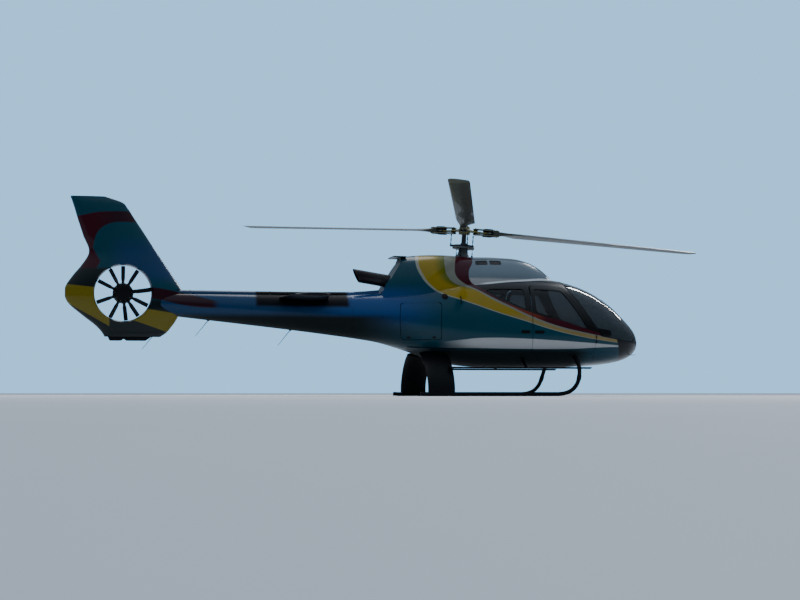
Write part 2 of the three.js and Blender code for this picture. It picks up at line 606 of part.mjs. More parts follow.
function mainRotor() {
  const fork = [SLEEVE.gap, -SLEEVE.gap - SLEEVE.plate].map((low) =>
    box(SLEEVE.from, SLEEVE.to, -SLEEVE.half, SLEEVE.half, low, low + SLEEVE.plate));
  const into = SLEEVE.gap + 4;
  const bearing = upright(BEARING.radius, BEARING.radius, -into, into, 16);
  const damper = box(DAMPER.from, DAMPER.to, -DAMPER.half, DAMPER.half, -into, into);
  const sleeve = fork[0].add(fork[1]).add(bearing.translate([BEARING.along, 0, 0])).add(damper);
  let hub = hubStar().add(upright(110, 95, -70, 85));
  BLADE_AZIMUTHS.forEach((azimuth, i) => {
    const placed = (shape) => shape.rotate([0, -BLADE_CONE / DEG, 0]).rotate([0, 0, azimuth]);
    hub = hub.add(placed(sleeve));
    const root = box(500, SLEEVE.to + 10, -300, 300, SLEEVE.gap - SEAT_GAP, 200)
      .add(box(500, SLEEVE.to + 10, -300, 300, -200, -SLEEVE.gap + SEAT_GAP));
    add(`rotor_blade_${i + 1}`, placed(bladeForm().subtract(root)), "rotor", rotorFrame);
  });
  const mastBore = upright(MAST_RADIUS + SEAT_GAP, MAST_RADIUS + SEAT_GAP, -200, 60);
  add("rotor_hub", hub.subtract(mastBore), "composite", rotorFrame);
  const mast = upright(MAST_RADIUS, MAST_RADIUS, HOUSING.bottom + 60 + SEAT_GAP, 60 - SEAT_GAP);
  const collar = upright(MAST_RADIUS + 14, MAST_RADIUS + 14, -262, -240);
  add("rotor_mast", mast.add(collar), "steel", rotorFrame);
  swashplates();
}

// The turning plate carries three pitch links up to the sleeves
function swashplates() {
  const plate = (low, high, radius) => upright(radius, radius, low, high);
  const bore = MAST_RADIUS + SEAT_GAP;
  let turning = plate(SWASH.turnLow, SWASH.turnHigh, SWASH.radius);
  for (const azimuth of BLADE_AZIMUTHS) {
    const lug = box(150, LINK_RADIUS + 22, -20, 20, SWASH.turnLow, SWASH.turnHigh);
    const link = upright(13, 13, SWASH.turnLow + 4, -SLEEVE.gap - SLEEVE.plate - 2.5, 10);
    turning = turning.add(lug.add(link.translate([LINK_RADIUS, 0, 0])).rotate([0, 0, azimuth + 18]));
  }
  add("swashplate_turning", turning.subtract(upright(bore, bore, -400, -200)), "steel", rotorFrame);
  const fixed = plate(SWASH.fixedLow, SWASH.fixedHigh, SWASH.radius + 5)
    .subtract(upright(SWASH.bore, SWASH.bore, -400, -300));
  add("swashplate_fixed", fixed, "steel", rotorFrame);
  const housing = upright(HOUSING.baseRadius, HOUSING.baseRadius, HOUSING.bottom, -560)
    .add(upright(HOUSING.baseRadius, HOUSING.topRadius, -560, -400))
    .add(upright(HOUSING.topRadius, HOUSING.topRadius, -400, SWASH.fixedLow - SEAT_GAP))
    .subtract(upright(HOUSING.bore, HOUSING.bore, HOUSING.bottom + 60, 0));
  add("mast_housing", housing, "black", rotorFrame);
}

// Landing gear: one bent tube a side, whose front sweeps up into the hull, and a deep faired leg behind
const SKID_Z = SKID_RADIUS * Math.cos(Math.PI / 10);
const SKID_HALF_TRACK = SKID_TRACK / 2;
const SKID_LINE = [
  [-1130, SKID_HALF_TRACK, SKID_Z + 6],
  [-1040, SKID_HALF_TRACK, SKID_Z],
  [1460, SKID_HALF_TRACK, SKID_Z],
  [1600, SKID_HALF_TRACK - 2, 58],
  [1715, SKID_HALF_TRACK - 6, 108],
  [1800, SKID_HALF_TRACK - 12, 190],
  [1855, SKID_HALF_TRACK - 26, 295],
  [1885, SKID_HALF_TRACK - 56, 410],
  [1902, SKID_HALF_TRACK - 118, 520],
  [1912, SKID_HALF_TRACK - 220, 612],
  [1918, SKID_HALF_TRACK - 350, 684],
  [1920, SKID_HALF_TRACK - 500, 745],
];
// Rear leg stations: distance from the middle, height, chord, thickness
const LEG = [
  [1196, 40, 500, 66],
  [1192, 170, 500, 66],
  [1140, 310, 500, 72],
  [1030, 450, 510, 78],
  [880, 585, 520, 84],
  [700, 700, 530, 90],
  [520, 790, 530, 90],
];
const LEG_X = -735;

// A round bar along a line of points
function sweep(line, radius, sides) {
  const points = line.map((p) => new THREE.Vector3(...p));
  return loft(points.map((point, i) => {
    const next = points[Math.min(i + 1, points.length - 1)];
    const along = next.clone().sub(points[Math.max(i - 1, 0)]).normalize();
    const across = new THREE.Vector3(-along.z, 0, along.x).normalize();
    if (across.lengthSq() < 0.5) across.set(1, 0, 0);
    const third = new THREE.Vector3().crossVectors(along, across).normalize();
    return Array.from({ length: sides }, (_, k) => {
      const t = ((k + 0.5) / sides) * 2 * Math.PI;
      return point.clone().addScaledVector(third, radius * Math.cos(t + Math.PI / 2))
        .addScaledVector(across, radius * Math.sin(t + Math.PI / 2)).toArray();
    });
  }));
}

const mirrored = (shape, side) => (side > 0 ? shape : shape.mirror([0, 1, 0]));

function legForm(side, grow = 0) {
  const rings = LEG.map(([y, z, chord, thick], i) => {
    const before = LEG[Math.max(i - 1, 0)];
    const after = LEG[Math.min(i + 1, LEG.length - 1)];
    const run = new THREE.Vector2(after[0] - before[0], after[1] - before[1]).normalize();
    return Array.from({ length: 12 }, (_, k) => {
      const [along, across] = squircle((k / 12) * 2 * Math.PI, 2.3);
      const off = (thick / 2 + grow) * across;
      return [LEG_X + (chord / 2 + grow) * along, y - run.y * off, z + run.x * off];
    });
  });
  return mirrored(loft(rings), side);
}

const STEP = { front: 2140, rear: -560, inner: 1030, outer: 1135, low: 503, high: 535 };

function landingGear() {
  for (const [name, side] of Object.entries(SIDES)) {
    const tube = mirrored(sweep(SKID_LINE, SKID_RADIUS, 10), side);
    const clearTube = mirrored(sweep(SKID_LINE, SKID_RADIUS + SEAT_GAP, 10), side);
    add(`skid_${name}`, largest(tube.subtract(clearOfBody)), "black");
    add(`rear_leg_${name}`, largest(legForm(side).subtract(clearOfBody).subtract(clearTube)), "black");
    const plank = prism([[STEP.rear, STEP.high], [STEP.rear, STEP.low], [STEP.front - 30, STEP.low],
      [STEP.front, STEP.high]], STEP.inner, STEP.outer);
    const rearTab = box(-560, -430, 880, STEP.inner + 10, STEP.low, STEP.high);
    const strut = box(860, 920, -25, 420, -12, 12).rotate([-32, 0, 0]).translate([0, 790, 690]);
    const brace = strut.intersect(box(0, 2000, 0, STEP.outer - 20, STEP.low + 4, 1000));
    const board = mirrored(plank.add(rearTab).add(brace), side);
    const clearLeg = legForm(side, SEAT_GAP);
    const cut = board.subtract(clearTube).subtract(clearLeg).subtract(clearOfBody);
    add(`step_${name}`, largest(cut), "black");
  }
  add("hook_plate", box(-90, 90, -70, 70, HOOK_FACE_Z, BELLY_Z + 20).subtract(clearOfBody), "steel");
}

// Cabin fittings
const FLOOR = { low: 690, high: 715 };
const SEAT_ROWS = {
  front: { x: 1290, spots: [-600, 0, 600], half: 245 },
  rear: { x: 120, spots: [-705, -235, 235, 705], half: 215 },
};
const SEAT = { depth: 460, base: 150, cushion: 120, rise: 1010, back: 95, lean: 14 };

function seatRow(row) {
  const bottom = FLOOR.high + SEAT_GAP;
  const seatTop = bottom + SEAT.base + SEAT.cushion;
  const baseTop = bottom + SEAT.base;
  let seats = box(row.x - 20, row.x + 330, row.spots[0] - 60, row.spots.at(-1) + 60, bottom, baseTop);
  for (const y of row.spots) {
    const pan = box(row.x - 60, row.x + SEAT.depth, y - row.half, y + row.half, baseTop - 5, seatTop);
    const back = box(-SEAT.back, 0, y - row.half, y + row.half, 0, 600)
      .add(box(-SEAT.back + 10, -5, y - 130, y + 130, 590, 800));
    seats = seats.add(pan).add(back.rotate([0, -SEAT.lean, 0]).translate([row.x, 0, seatTop - 60]));
  }
  return seats;
}

const LAMP = { radius: 70, x0: 3235, z: 885 };
const lampBore = (radius) =>
  solid(new THREE.CylinderGeometry(radius, radius, 300, 14)
    .rotateZ(Math.PI / 2).translate(LAMP.x0 + 150, 0, LAMP.z));

function cabinFittings() {
  const clearInside = bodyForm(WALL + SEAT_GAP);
  const inCabin = clearInside.intersect(ahead(CABIN_REAR_X));
  add("cabin_floor", box(-440, 3000, -1200, 1200, FLOOR.low, FLOOR.high).intersect(inCabin), "black");
  const bulkhead = box(-440, -412, -1200, 1200, FLOOR.high + SEAT_GAP, 2300);
  add("rear_bulkhead", bulkhead.intersect(inCabin), "fabric");
  for (const [name, row] of Object.entries(SEAT_ROWS)) {
    add(`${name}_seats`, seatRow(row).intersect(inCabin), "fabric");
  }
  const pedestal = box(2330, 2700, -150, 150, FLOOR.high + SEAT_GAP, 1010);
  const pod = prism([[2430, 1000], [2490, 1290], [2760, 1250], [2800, 1000]], -400, 400, 30);
  add("instrument_panel", pedestal.add(pod).intersect(inCabin), "black");
  add("landing_light", lampBore(LAMP.radius).intersect(bodyForm(3)), "lamp");
}

fuselage();
doorsAndGlass();
aftFuselage();
cabinFittings();
cowlings();
machinery();
tailBoom();
stabilisers();
tail();
tailRotor();
mainRotor();
landingGear();

export default helicopter;
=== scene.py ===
"""Looks for a light single-engine helicopter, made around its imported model.

Metres, +X towards the nose, +Y to the aircraft's left, +Z up. The tables are in millimetres with heights above the
ground, as they are measured on the aircraft; the frame's zero is the cargo hook's face, HOOK above the ground.
"""
import math

import bpy
import numpy as np
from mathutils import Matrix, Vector


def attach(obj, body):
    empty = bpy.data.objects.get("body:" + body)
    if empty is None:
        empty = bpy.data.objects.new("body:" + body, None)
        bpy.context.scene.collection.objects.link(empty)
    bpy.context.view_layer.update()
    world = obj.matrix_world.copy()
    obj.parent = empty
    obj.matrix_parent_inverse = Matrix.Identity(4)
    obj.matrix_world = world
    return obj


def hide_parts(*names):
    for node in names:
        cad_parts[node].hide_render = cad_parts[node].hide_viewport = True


bl_info = {
    "name": "Light utility helicopter",
    "version": (1, 0, 0),
    "blender": (4, 5, 0),
    "location": "3D View > Sidebar > Helicopter",
    "description": "Makes the skins, glazing, rotors, cabin and fittings of a light helicopter around its frame",
    "category": "Object",
}

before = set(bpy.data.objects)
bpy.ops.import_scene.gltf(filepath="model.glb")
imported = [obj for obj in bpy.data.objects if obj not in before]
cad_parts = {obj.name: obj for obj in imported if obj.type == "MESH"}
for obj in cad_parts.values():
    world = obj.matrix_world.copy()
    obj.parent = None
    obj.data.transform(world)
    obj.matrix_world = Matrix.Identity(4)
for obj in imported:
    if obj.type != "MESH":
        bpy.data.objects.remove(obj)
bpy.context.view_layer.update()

HOOK = 0.528
DEG = math.pi / 180
SIDES = {"left": 1, "right": -1}
CUT, KEEP, ADD = "DIFFERENCE", "INTERSECT", "UNION"

# Fuselage stations: x, bottom, top, half width, height of the widest point, fullness above it, fullness below it
BODY_TABLE = [
    [3390, 1000, 1000, 0, 1000, 2.0, 2.0], [3340, 850, 1200, 235, 1015, 2.1, 2.1],
    [3100, 690, 1475, 555, 1045, 2.15, 2.2], [2770, 615, 1765, 735, 1085, 2.2, 2.3],
    [2400, 575, 2000, 855, 1120, 2.25, 2.4], [2000, 555, 2145, 930, 1150, 2.3, 2.5],
    [1500, 550, 2225, 990, 1170, 2.4, 2.6], [900, 550, 2245, 1015, 1190, 2.5, 2.7],
    [300, 550, 2235, 1000, 1220, 2.5, 2.7], [-200, 585, 2195, 945, 1260, 2.5, 2.6],
    [-700, 695, 2105, 815, 1320, 2.4, 2.4], [-1200, 860, 2000, 640, 1385, 2.3, 2.2],
    [-1700, 1000, 1930, 460, 1440, 2.1, 2.1], [-2200, 1080, 1890, 340, 1490, 2.0, 2.0],
]
COWL_TABLE = [
    [1700, 1850, 2190, 200, 2000, 2.2, 2.0], [1560, 1800, 2330, 330, 2000, 2.3, 2.0],
    [1300, 1800, 2500, 440, 1980, 2.4, 2.0], [1080, 1800, 2575, 500, 1960, 2.6, 2.0],
    [600, 1800, 2620, 565, 1950, 2.8, 2.0], [0, 1800, 2625, 600, 1930, 2.8, 2.0],
    [-500, 1780, 2650, 600, 1900, 2.8, 2.0], [-900, 1740, 2640, 555, 1880, 2.6, 2.0],
    [-1300, 1700, 2590, 440, 1860, 2.4, 2.0], [-1700, 1680, 2480, 300, 1830, 2.2, 2.0],
]
BOOM_TABLE = [
    [-2200, 1080, 1890, 340, 1490, 2.0, 2.0], [-3080, 1190, 1880, 285, 1540, 2.0, 2.0],
    [-4200, 1315, 1880, 240, 1600, 2.0, 2.0], [-5350, 1440, 1885, 190, 1665, 2.0, 2.0],
    [-5700, 1480, 1885, 172, 1685, 2.0, 2.0],
]
# Fin and shroud stations: height, front edge, rear edge, half thickness
TAIL_TABLE = [
    [1070, -5700, -6690, 70], [1130, -5610, -6725, 120], [1250, -5500, -6830, 160], [1440, -5380, -7070, 190],
    [1700, -5310, -7360, 205], [1940, -5330, -7400, 205], [2160, -5470, -7270, 190], [2360, -5605, -7110, 160],
    [2580, -5755, -6985, 125], [2900, -5965, -7090, 100], [3250, -6200, -7205, 80], [3400, -6300, -7250, 70],
    [3520, -6420, -7290, 55], [3610, -6700, -7320, 30],
]
TAIL_FULLNESS = 2.2
TAIL_END = -7.3995
NOSE = BODY_TABLE[0][0] / 1000

# Side-view outlines: corners as [x, height]
WINDSHIELD = [[1800, 2600], [1800, 2050], [2420, 1120], [3000, 1035], [3600, 1035], [3600, 2600]]
POST_HALF = 32
FRONT_DOOR = [[2300, 800], [2300, 1140], [1700, 2040], [1035, 2055], [1035, 800]]
FRONT_WINDOW = [[2144, 1240], [1672, 1965], [1115, 1985], [1115, 1545]]
SLIDING_DOOR = [[1000, 800], [1000, 2055], [-130, 2030], [-330, 1750], [-330, 930], [-200, 800]]
SLIDING_WINDOW = [[925, 1590], [925, 1985], [300, 1978], [195, 1935]]
CORNER = 70
DOOR_GAP = 5
SWING_GAP = 16
SEAT_GAP = 0.4
CLEAR = SEAT_GAP / 1000
WALL = 40
SILL = 770
CABIN_REAR = -450
BOOM_FRONT = -2200


# ---------------------------------------------------------------- surfaces

def metres(points):
    """Millimetres above the ground, as frame metres."""
    return np.asarray(points, float) / 1000 - [0, 0, HOOK]


def turns(count):
    """Even turns round a circle, from 0."""
    return np.arange(count) / count * 2 * math.pi


def grid(x, y, z):
    """Points whose coordinates are spread over one grid."""
    return np.stack(np.broadcast_arrays(x, y, z), -1)


def unit(ways):
    return ways / np.linalg.norm(ways, axis=-1, keepdims=True)


def through(table, places):
    """A table's rows at places on its first column: cubics through the rows whose slope at a row is the mean of the
    slopes on both sides, each weighted by the other side's length."""
    rows = np.asarray(table, float)
    rows = rows[np.argsort(rows[:, 0])]
    x, step = rows[:, 0], np.diff(rows[:, 0])
    slope = np.diff(rows, axis=0) / step[:, None]
    tangent = np.vstack([slope[:1], slope[:-1], slope[-1:]])
    tangent[1:-1] = (slope[:-1] * step[1:, None] + slope[1:] * step[:-1, None]) / (step[1:] + step[:-1])[:, None]
    places = np.atleast_1d(np.asarray(places, float))
    i = np.clip(np.searchsorted(x, places) - 1, 0, len(x) - 2)
    t, h = ((places - x[i]) / step[i])[:, None], step[i][:, None]
    return (rows[i] * (1 + 2 * t) * (1 - t) ** 2 + tangent[i] * h * t * (1 - t) ** 2
            + rows[i + 1] * t * t * (3 - 2 * t) + tangent[i + 1] * h * t * t * (t - 1))


def squircle(turn, fullness):
    """A superellipse's points at turns: cosine and sine, each to the power 2 / fullness with its sign kept."""
    c, s = np.cos(turn), np.sin(turn)
    return np.sign(c) * np.abs(c) ** (2 / fullness), np.sign(s) * np.abs(s) ** (2 / fullness)


class Form:
    """A skin along X made of superellipse rings, whose sizes run smoothly through a table's stations."""

    def __init__(self, table, place=lambda x: x):
        self.place = place
        rows = np.array(table, float)
        rows[:, 0] = place(rows[:, 0] / 1000)
        rows[:, 1:5] /= 1000
        rows[:, [1, 2, 4]] -= HOOK
        self.table = rows

    def rows(self, x):
        return through(self.table, self.place(np.atleast_1d(x)))[:, 1:].T

    def rings(self, x, inset=0.0, count=128):
        """Ring at x, turn t: across = half width * cos, up = waist + reach * sin, both superellipse powers."""
        bottom, top, half, waist, full, low = self.rows(x)[:, :, None]
        turn = turns(count)
        above = turn <= math.pi
        across, up = squircle(turn, np.where(above, full, low))
        reach = np.where(above, top - inset - waist, waist - bottom - inset)
        return grid(np.reshape(x, (-1, 1)), np.maximum(half - inset, 0.002) * across, waist + reach * up)

    def half_rings(self, x, z):
        """Half width, height from the waist, and the reach and fullness of the ring's half that holds z."""
        bottom, top, half, waist, full, low = self.rows(x)
        up = np.asarray(z, float) - waist
        return half, up, *np.where(up > 0, [top - waist, full], [waist - bottom, low])

    def level(self, points):
        """Below 1 inside the form and above 1 outside: |across| and |up| over their reach, to the fullness."""
        half, up, reach, power = self.half_rings(points[:, 0], points[:, 2])
        return (np.abs(points[:, 1] / np.maximum(half, 1e-4)) ** power
                + np.abs(up / np.maximum(reach, 1e-4)) ** power)

    def flank(self, x, z, inset=0.0):
        """Half width of the skin at x and z: half * (1 - |up| ** fullness) ** (1 / fullness)."""
        half, up, reach, power = self.half_rings(x, z)
        return (half - inset) * np.maximum(1 - np.abs(up / (reach - inset)) ** power, 0) ** (1 / power)

    def roof(self, x, y=0.0):
        """Height of the skin at x and y, above its widest point."""
        _, top, half, waist, full, _ = self.rows(x)
        return waist + (top - waist) * np.maximum(1 - np.abs(y / half) ** full, 0) ** (1 / full)


def steepest(level, points, step=1e-3):
    """The way in which a level rises most: its slope along X, Y and Z by small steps."""
    slope = np.stack([level(points + way) - level(points - way) for way in np.eye(3) * step], -1)
    return slope / np.maximum(np.linalg.norm(slope, axis=1, keepdims=True), 1e-12)


def noseward(x):
    """Distance behind the nose as a square root, which crowds stations at the nose and keeps it round."""
    return np.sqrt(np.maximum(NOSE - x, 0))


BODY = Form(BODY_TABLE, noseward)
COWL = Form(COWL_TABLE)
BOOM = Form(BOOM_TABLE)


def tail_rows(z):
    front, rear, half = through(np.array(TAIL_TABLE) / 1000 - [HOOK, 0, 0, 0], z)[:, 1:].T
    rear = np.maximum(rear, TAIL_END)
    return (front + rear) / 2, (front - rear) / 2, half


def tail_rings(z, grow=0.0, count=96):
    """Ring at height z, turn t: middle + reach * cos along X and half thickness * sin across, full by 2.2."""
    middle, reach, half = (v[:, None] for v in tail_rows(z))
    along, across = squircle(turns(count), TAIL_FULLNESS)
    return grid(middle + (reach + grow) * along, (half + grow) * across, np.reshape(z, (-1, 1)))


def tail_level(points):
    middle, reach, half = tail_rows(points[:, 2])
    return (np.abs((points[:, 0] - middle) / reach) ** TAIL_FULLNESS
            + np.abs(points[:, 1] / half) ** TAIL_FULLNESS)


def loft(rings):
    """Closed skin through rings of points: a face spans rings r and r + 1 and points i and i + 1, and each end ring
    closes on its middle."""
    rings = np.asarray(rings, float)
    count, size = rings.shape[:2]
    first, i = np.arange(count - 1)[:, None] * size, np.arange(size)
    after, last, tip = (i + 1) % size, (count - 1) * size, count * size
    quads = np.stack([first + i, first + after, first + size + after, first + size + i], -1).reshape(-1, 4)
    ends = [np.column_stack([after, i, np.full(size, tip)]),
            np.column_stack([last + i, last + after, np.full(size, tip + 1)])]
    return outward((np.vstack([rings.reshape(-1, 3), rings[0].mean(0), rings[-1].mean(0)]), [quads, np.vstack(ends)]))


def outward(surface):
    """The surface with its faces turned so that the space inside it counts as positive."""
    points, faces = surface
    space = 0.0
    for block in faces:
        for k in range(1, block.shape[1] - 1):
            space += np.einsum("ij,ij->", points[block[:, 0]], np.cross(points[block[:, k]], points[block[:, k + 1]]))
    return (points, faces) if space > 0 else flipped(surface)


def flipped(surface):
    return surface[0], [block[:, ::-1] for block in surface[1]]


def joined(*surfaces):
    """Several surfaces as one: points follow each other and faces are renumbered."""
    points, faces, start = [], [], 0
    for p, blocks in surfaces:
        points.append(p)
        faces += [block + start for block in blocks]
        start += len(p)
    return np.vstack(points), faces


def moved(surface, change):
    """The surface with its points put through a function, and facing outwards again."""
    return outward((change(surface[0]), surface[1]))


def lathe(profile, sides=48):
    """A profile of (radius, height) carried round Z: x = r cos t, y = r sin t."""
    r, h = np.array(profile, float).T[:, :, None]
    return loft(grid(r * np.cos(turns(sides)), r * np.sin(turns(sides)), h))


def lathe_at(place, way, profile, sides=16):
    """A turned part with its line along a direction: profile of (radius, distance along it)."""
    way = unit(np.asarray(way, float))
    side = unit(np.cross(way, [0.0, 0, 1] if abs(way[2]) < 0.9 else [1.0, 0, 0]))
    axes = np.array([side, np.cross(way, side), way])
    return moved(lathe(profile, sides), lambda p: place + p @ axes)


def round_path(path, along, up, radius, turn, flat):
    """Rings about a path's points: centre + radius * (across cos t + flat * upward sin t), where across and upward
    are square to the path."""
    across = unit(np.cross(unit(along), up))
    upward = np.cross(across, unit(along))
    c, s = np.cos(turn)[:, None], np.sin(turn)[:, None]
    return path[:, None] + np.reshape(radius, (-1, 1, 1)) * (across[:, None] * c + flat * upward[:, None] * s)


def sweep(path, radius, sides=16, flat=1.0, up=(0, 0, 1)):
    """A round or oval bar along a path."""
    path = np.asarray(path, float)
    along = unit(np.gradient(path, axis=0))
    level = np.linalg.norm(np.cross(along, up), axis=1, keepdims=True) < 1e-3
    turn = (np.arange(sides) + 0.5) / sides * 2 * math.pi
    return loft(round_path(path, along, np.where(level, [1.0, 0, 0], up), radius, turn, flat))


def hoop(path, radius, sides=8, flat=1.0, up=(0, 1, 0)):
    """A closed bead along a loop of points."""
    path = np.asarray(path, float)
    path = path[np.linalg.norm(path - np.roll(path, 1, 0), axis=1) > 1e-5]
    points = round_path(path, np.roll(path, -1, 0) - np.roll(path, 1, 0), up, radius, turns(sides), flat)
    row, i = np.arange(len(path))[:, None] * sides, np.arange(sides)
    after, beside = (row + sides) % (len(path) * sides), (i + 1) % sides
    faces = np.stack([row + i, row + beside, after + beside, after + i], -1).reshape(-1, 4)
    return outward((points.reshape(-1, 3), [faces]))


def smooth_path(corners, steps=12):
    """A cubic path through corners, measured by the length between them."""
    corners = np.asarray(corners, float)
    length = np.concatenate([[0], np.cumsum(np.linalg.norm(np.diff(corners, axis=0), axis=1))])
    places = np.linspace(0, length[-1], steps * (len(corners) - 1) + 1)
    return through(np.column_stack([length, corners]), places)[:, 1:]


def soft_box(low, high, radius=0.004, steps=3):
    """A box with rounded edges: each corner is an eighth of a ball, its centre moved in by the radius."""
    low, high = np.asarray(low, float), np.asarray(high, float)
    half = (high - low) / 2
    radius = min(radius, half.min() * 0.999)
    x, y, z = half - radius
    arc = np.linspace(0, math.pi / 2, steps + 1)
    turn = np.concatenate([q * math.pi / 2 + arc for q in range(4)])
    lift = np.concatenate([arc - math.pi / 2, arc])[:, None]
    sx, sy = np.repeat([[1, -1, -1, 1], [1, 1, -1, -1]], steps + 1, axis=1)
    sz = np.repeat([-1, 1], steps + 1)[:, None]
    return loft(grid(sx * x + radius * np.cos(turn) * np.cos(lift), sy * y + radius * np.sin(turn) * np.cos(lift),
                     sz * z + radius * np.sin(lift)) + (low + high) / 2)


def rod(a, b, radius, sides=14, ends=0.25):
    """A straight bar from a to b with its ends rounded off by a quarter of an ellipse."""
    a, b = np.asarray(a, float), np.asarray(b, float)
    length = np.linalg.norm(b - a)
    arc = np.linspace(0, math.pi / 2, 4)
    near = min(radius * ends, length / 3) * (1 - np.cos(arc))
    far = np.concatenate([near, length - near[::-1]]) / length
    size = np.concatenate([np.sin(arc), np.sin(arc[::-1])]) * radius
    return sweep(a + (b - a) * far[:, None], np.maximum(size, radius * 0.02), sides, up=(0.03, 0.05, 1))


def rounded_outline(corners, radius, steps=8):
    """Corners cut back by the radius, at most a third of an edge, and joined there by parabolas."""
    corners = np.asarray(corners, float)
    made = []
    for i, here in enumerate(corners):
        ends = []
        for other in (corners[i - 1], corners[(i + 1) % len(corners)]):
            way = other - here
            length = np.linalg.norm(way)
            ends.append(here + way / length * min(radius, length / 3))
        t = np.linspace(0, 1, steps + 1)[:, None]
        made.append(ends[0] * (1 - t) ** 2 + here * 2 * t * (1 - t) + ends[1] * t * t)
    return np.vstack(made)


def inset(corners, amount):
    """A convex outline with every edge moved in by the amount."""
    c = np.asarray(corners, float)
    after = np.roll(c, -1, 0)
    turn = np.sign(np.sum(c[:, 0] * after[:, 1] - after[:, 0] * c[:, 1]))
    u = unit(after - c)
    start = c + turn * amount * np.stack([-u[:, 1], u[:, 0]], 1)
    v, begin = np.roll(u, 1, 0), np.roll(start, 1, 0)
    far = ((start - begin)[:, 0] * u[:, 1] - (start - begin)[:, 1] * u[:, 0]) / (v[:, 0] * u[:, 1] - v[:, 1] * u[:, 0])
    return begin + v * far[:, None]


def prism(corners, y0, y1, radius=0.0):
    """A side-view outline pushed through the aircraft from y0 to y1, all in millimetres."""
    flat = rounded_outline(corners, radius) if radius else np.asarray(corners, float)
    n = len(flat)
    points = metres(np.vstack([grid(flat[:, 0], y, flat[:, 1]) for y in (y0, y1)]))
    i = np.arange(n)
    sides = np.stack([i, (i + 1) % n, (i + 1) % n + n, i + n], -1)
    return outward((points, [sides, i[None, ::-1], (i + n)[None]]))


def turned(points, angle, axis=2):
    """Points turned about an axis through zero."""
    a, b = {0: (1, 2), 1: (2, 0), 2: (0, 1)}[axis]
    c, s = math.cos(angle), math.sin(angle)
    out = np.array(points, float)
    out[:, a], out[:, b] = points[:, a] * c - points[:, b] * s, points[:, a] * s + points[:, b] * c
    return out


def creased(mesh, angle=38):
    """The mesh, smooth with its creases kept."""
    mesh.shade_smooth()
    mesh.set_sharp_from_angle(angle=angle * DEG)
    return mesh


def block(x0, x1, y0, y1, z0, z1):
    """A cutter's plain block, in millimetres above the ground."""
    return prism([[x0, z0], [x1, z0], [x1, z1], [x0, z1]], y0, y1)


# ---------------------------------------------------------------- meshes

def mesh_of(shape):
    """A mesh as it is, or one from a surface or a list of surfaces."""
    if isinstance(shape, bpy.types.Mesh):
        return shape
    points, faces = joined(*shape) if isinstance(shape, list) else shape
    mesh = bpy.data.meshes.new("surface")
    mesh.from_pydata(points, [], [f for part in faces for f in part.tolist()])
    return creased(mesh)


def carved(shape, *steps):
    """The shape's mesh after each step (operation, shape) in order."""
    helpers = []

    def helper(shape):
        helpers.append(bpy.data.objects.new("carving", mesh_of(shape)))
        bpy.context.scene.collection.objects.link(helpers[-1])
        return helpers[-1]

    host = helper(shape)
    for operation, other in steps:
        change = host.modifiers.new("carving", "BOOLEAN")
        change.operation = operation
        change.solver = "MANIFOLD"
        change.object = helper(other)
    found = bpy.data.meshes.new_from_object(host.evaluated_get(bpy.context.evaluated_depsgraph_get()))
    for obj in helpers:
        bpy.data.objects.remove(obj)
    if not len(found.polygons):
        raise RuntimeError("a carving left nothing")
    return found


def read(items, name, width, kind=np.float32):
    """A value of each of a mesh's items, in rows of a width."""
    values = np.empty(len(items) * width, kind)
    items.foreach_get(name, values)
    return values.reshape(-1, width) if width > 1 else values


def coordinates(mesh):
    return read(mesh.vertices, "co", 3).astype(float)


def largest(mesh):
    """The mesh without its smaller separate bodies. Points that share an edge take each other's lowest number until
    nothing changes."""
    a, b = read(mesh.edges, "vertices", 2, np.int32).T
    label = np.arange(len(mesh.vertices))
    while True:
        low = np.minimum(label[a], label[b])
        new = label.copy()
        np.minimum.at(new, a, low)
        np.minimum.at(new, b, low)
        new = new[new]
        if (new == label).all():
            break
        label = new
    names, sizes = np.unique(label, return_counts=True)
    if len(names) == 1:
        return mesh
    keep = label == names[sizes.argmax()]
    number = np.cumsum(keep) - 1
    faces = [[int(number[v]) for v in p.vertices] for p in mesh.polygons if keep[p.vertices[0]]]
    found = bpy.data.meshes.new("surface")
    found.from_pydata(coordinates(mesh)[keep], [], faces)
    return found


def flip_side(mesh):
    """The mesh mirrored in the aircraft's middle plane."""
    found = mesh.copy()
    found.vertices.foreach_set("co", (coordinates(mesh) * [1, -1, 1]).astype(np.float32).ravel())
    found.flip_normals()
    return found


def shade(mesh, *levels, least=0.86):
    """Each corner takes the true normal of the form its face lies on, so a carved skin looks as smooth as the form.
    Faces on no form stay flat. Material 0 goes on outer skin, 1 on inner skin and 2 on cut edges."""
    co, corner, count = coordinates(mesh), read(mesh.loops, "vertex_index", 1, np.int32), len(mesh.polygons)
    centre, facing = (read(mesh.polygons, name, 3).astype(float) for name in ("center", "normal"))
    owner = np.repeat(np.arange(count), read(mesh.polygons, "loop_total", 1, np.int32))
    chosen = facing[owner]
    best, side = np.full(count, least), np.zeros(count)
    for level in levels:
        agree = (steepest(level, centre) * facing).sum(1)
        take = np.abs(agree) > best
        best[take] = np.abs(agree)[take]
        side[take] = np.sign(agree[take])
        mine = take[owner]
        chosen[mine] = steepest(level, co[corner[mine]]) * np.sign(agree)[owner[mine]][:, None]
    mesh.polygons.foreach_set("material_index", np.where(side > 0, 0, np.where(side < 0, 1, 2)).astype(np.int32))
    mesh.shade_smooth()
    mesh.normals_split_custom_set(chosen.astype(np.float32))
    return mesh


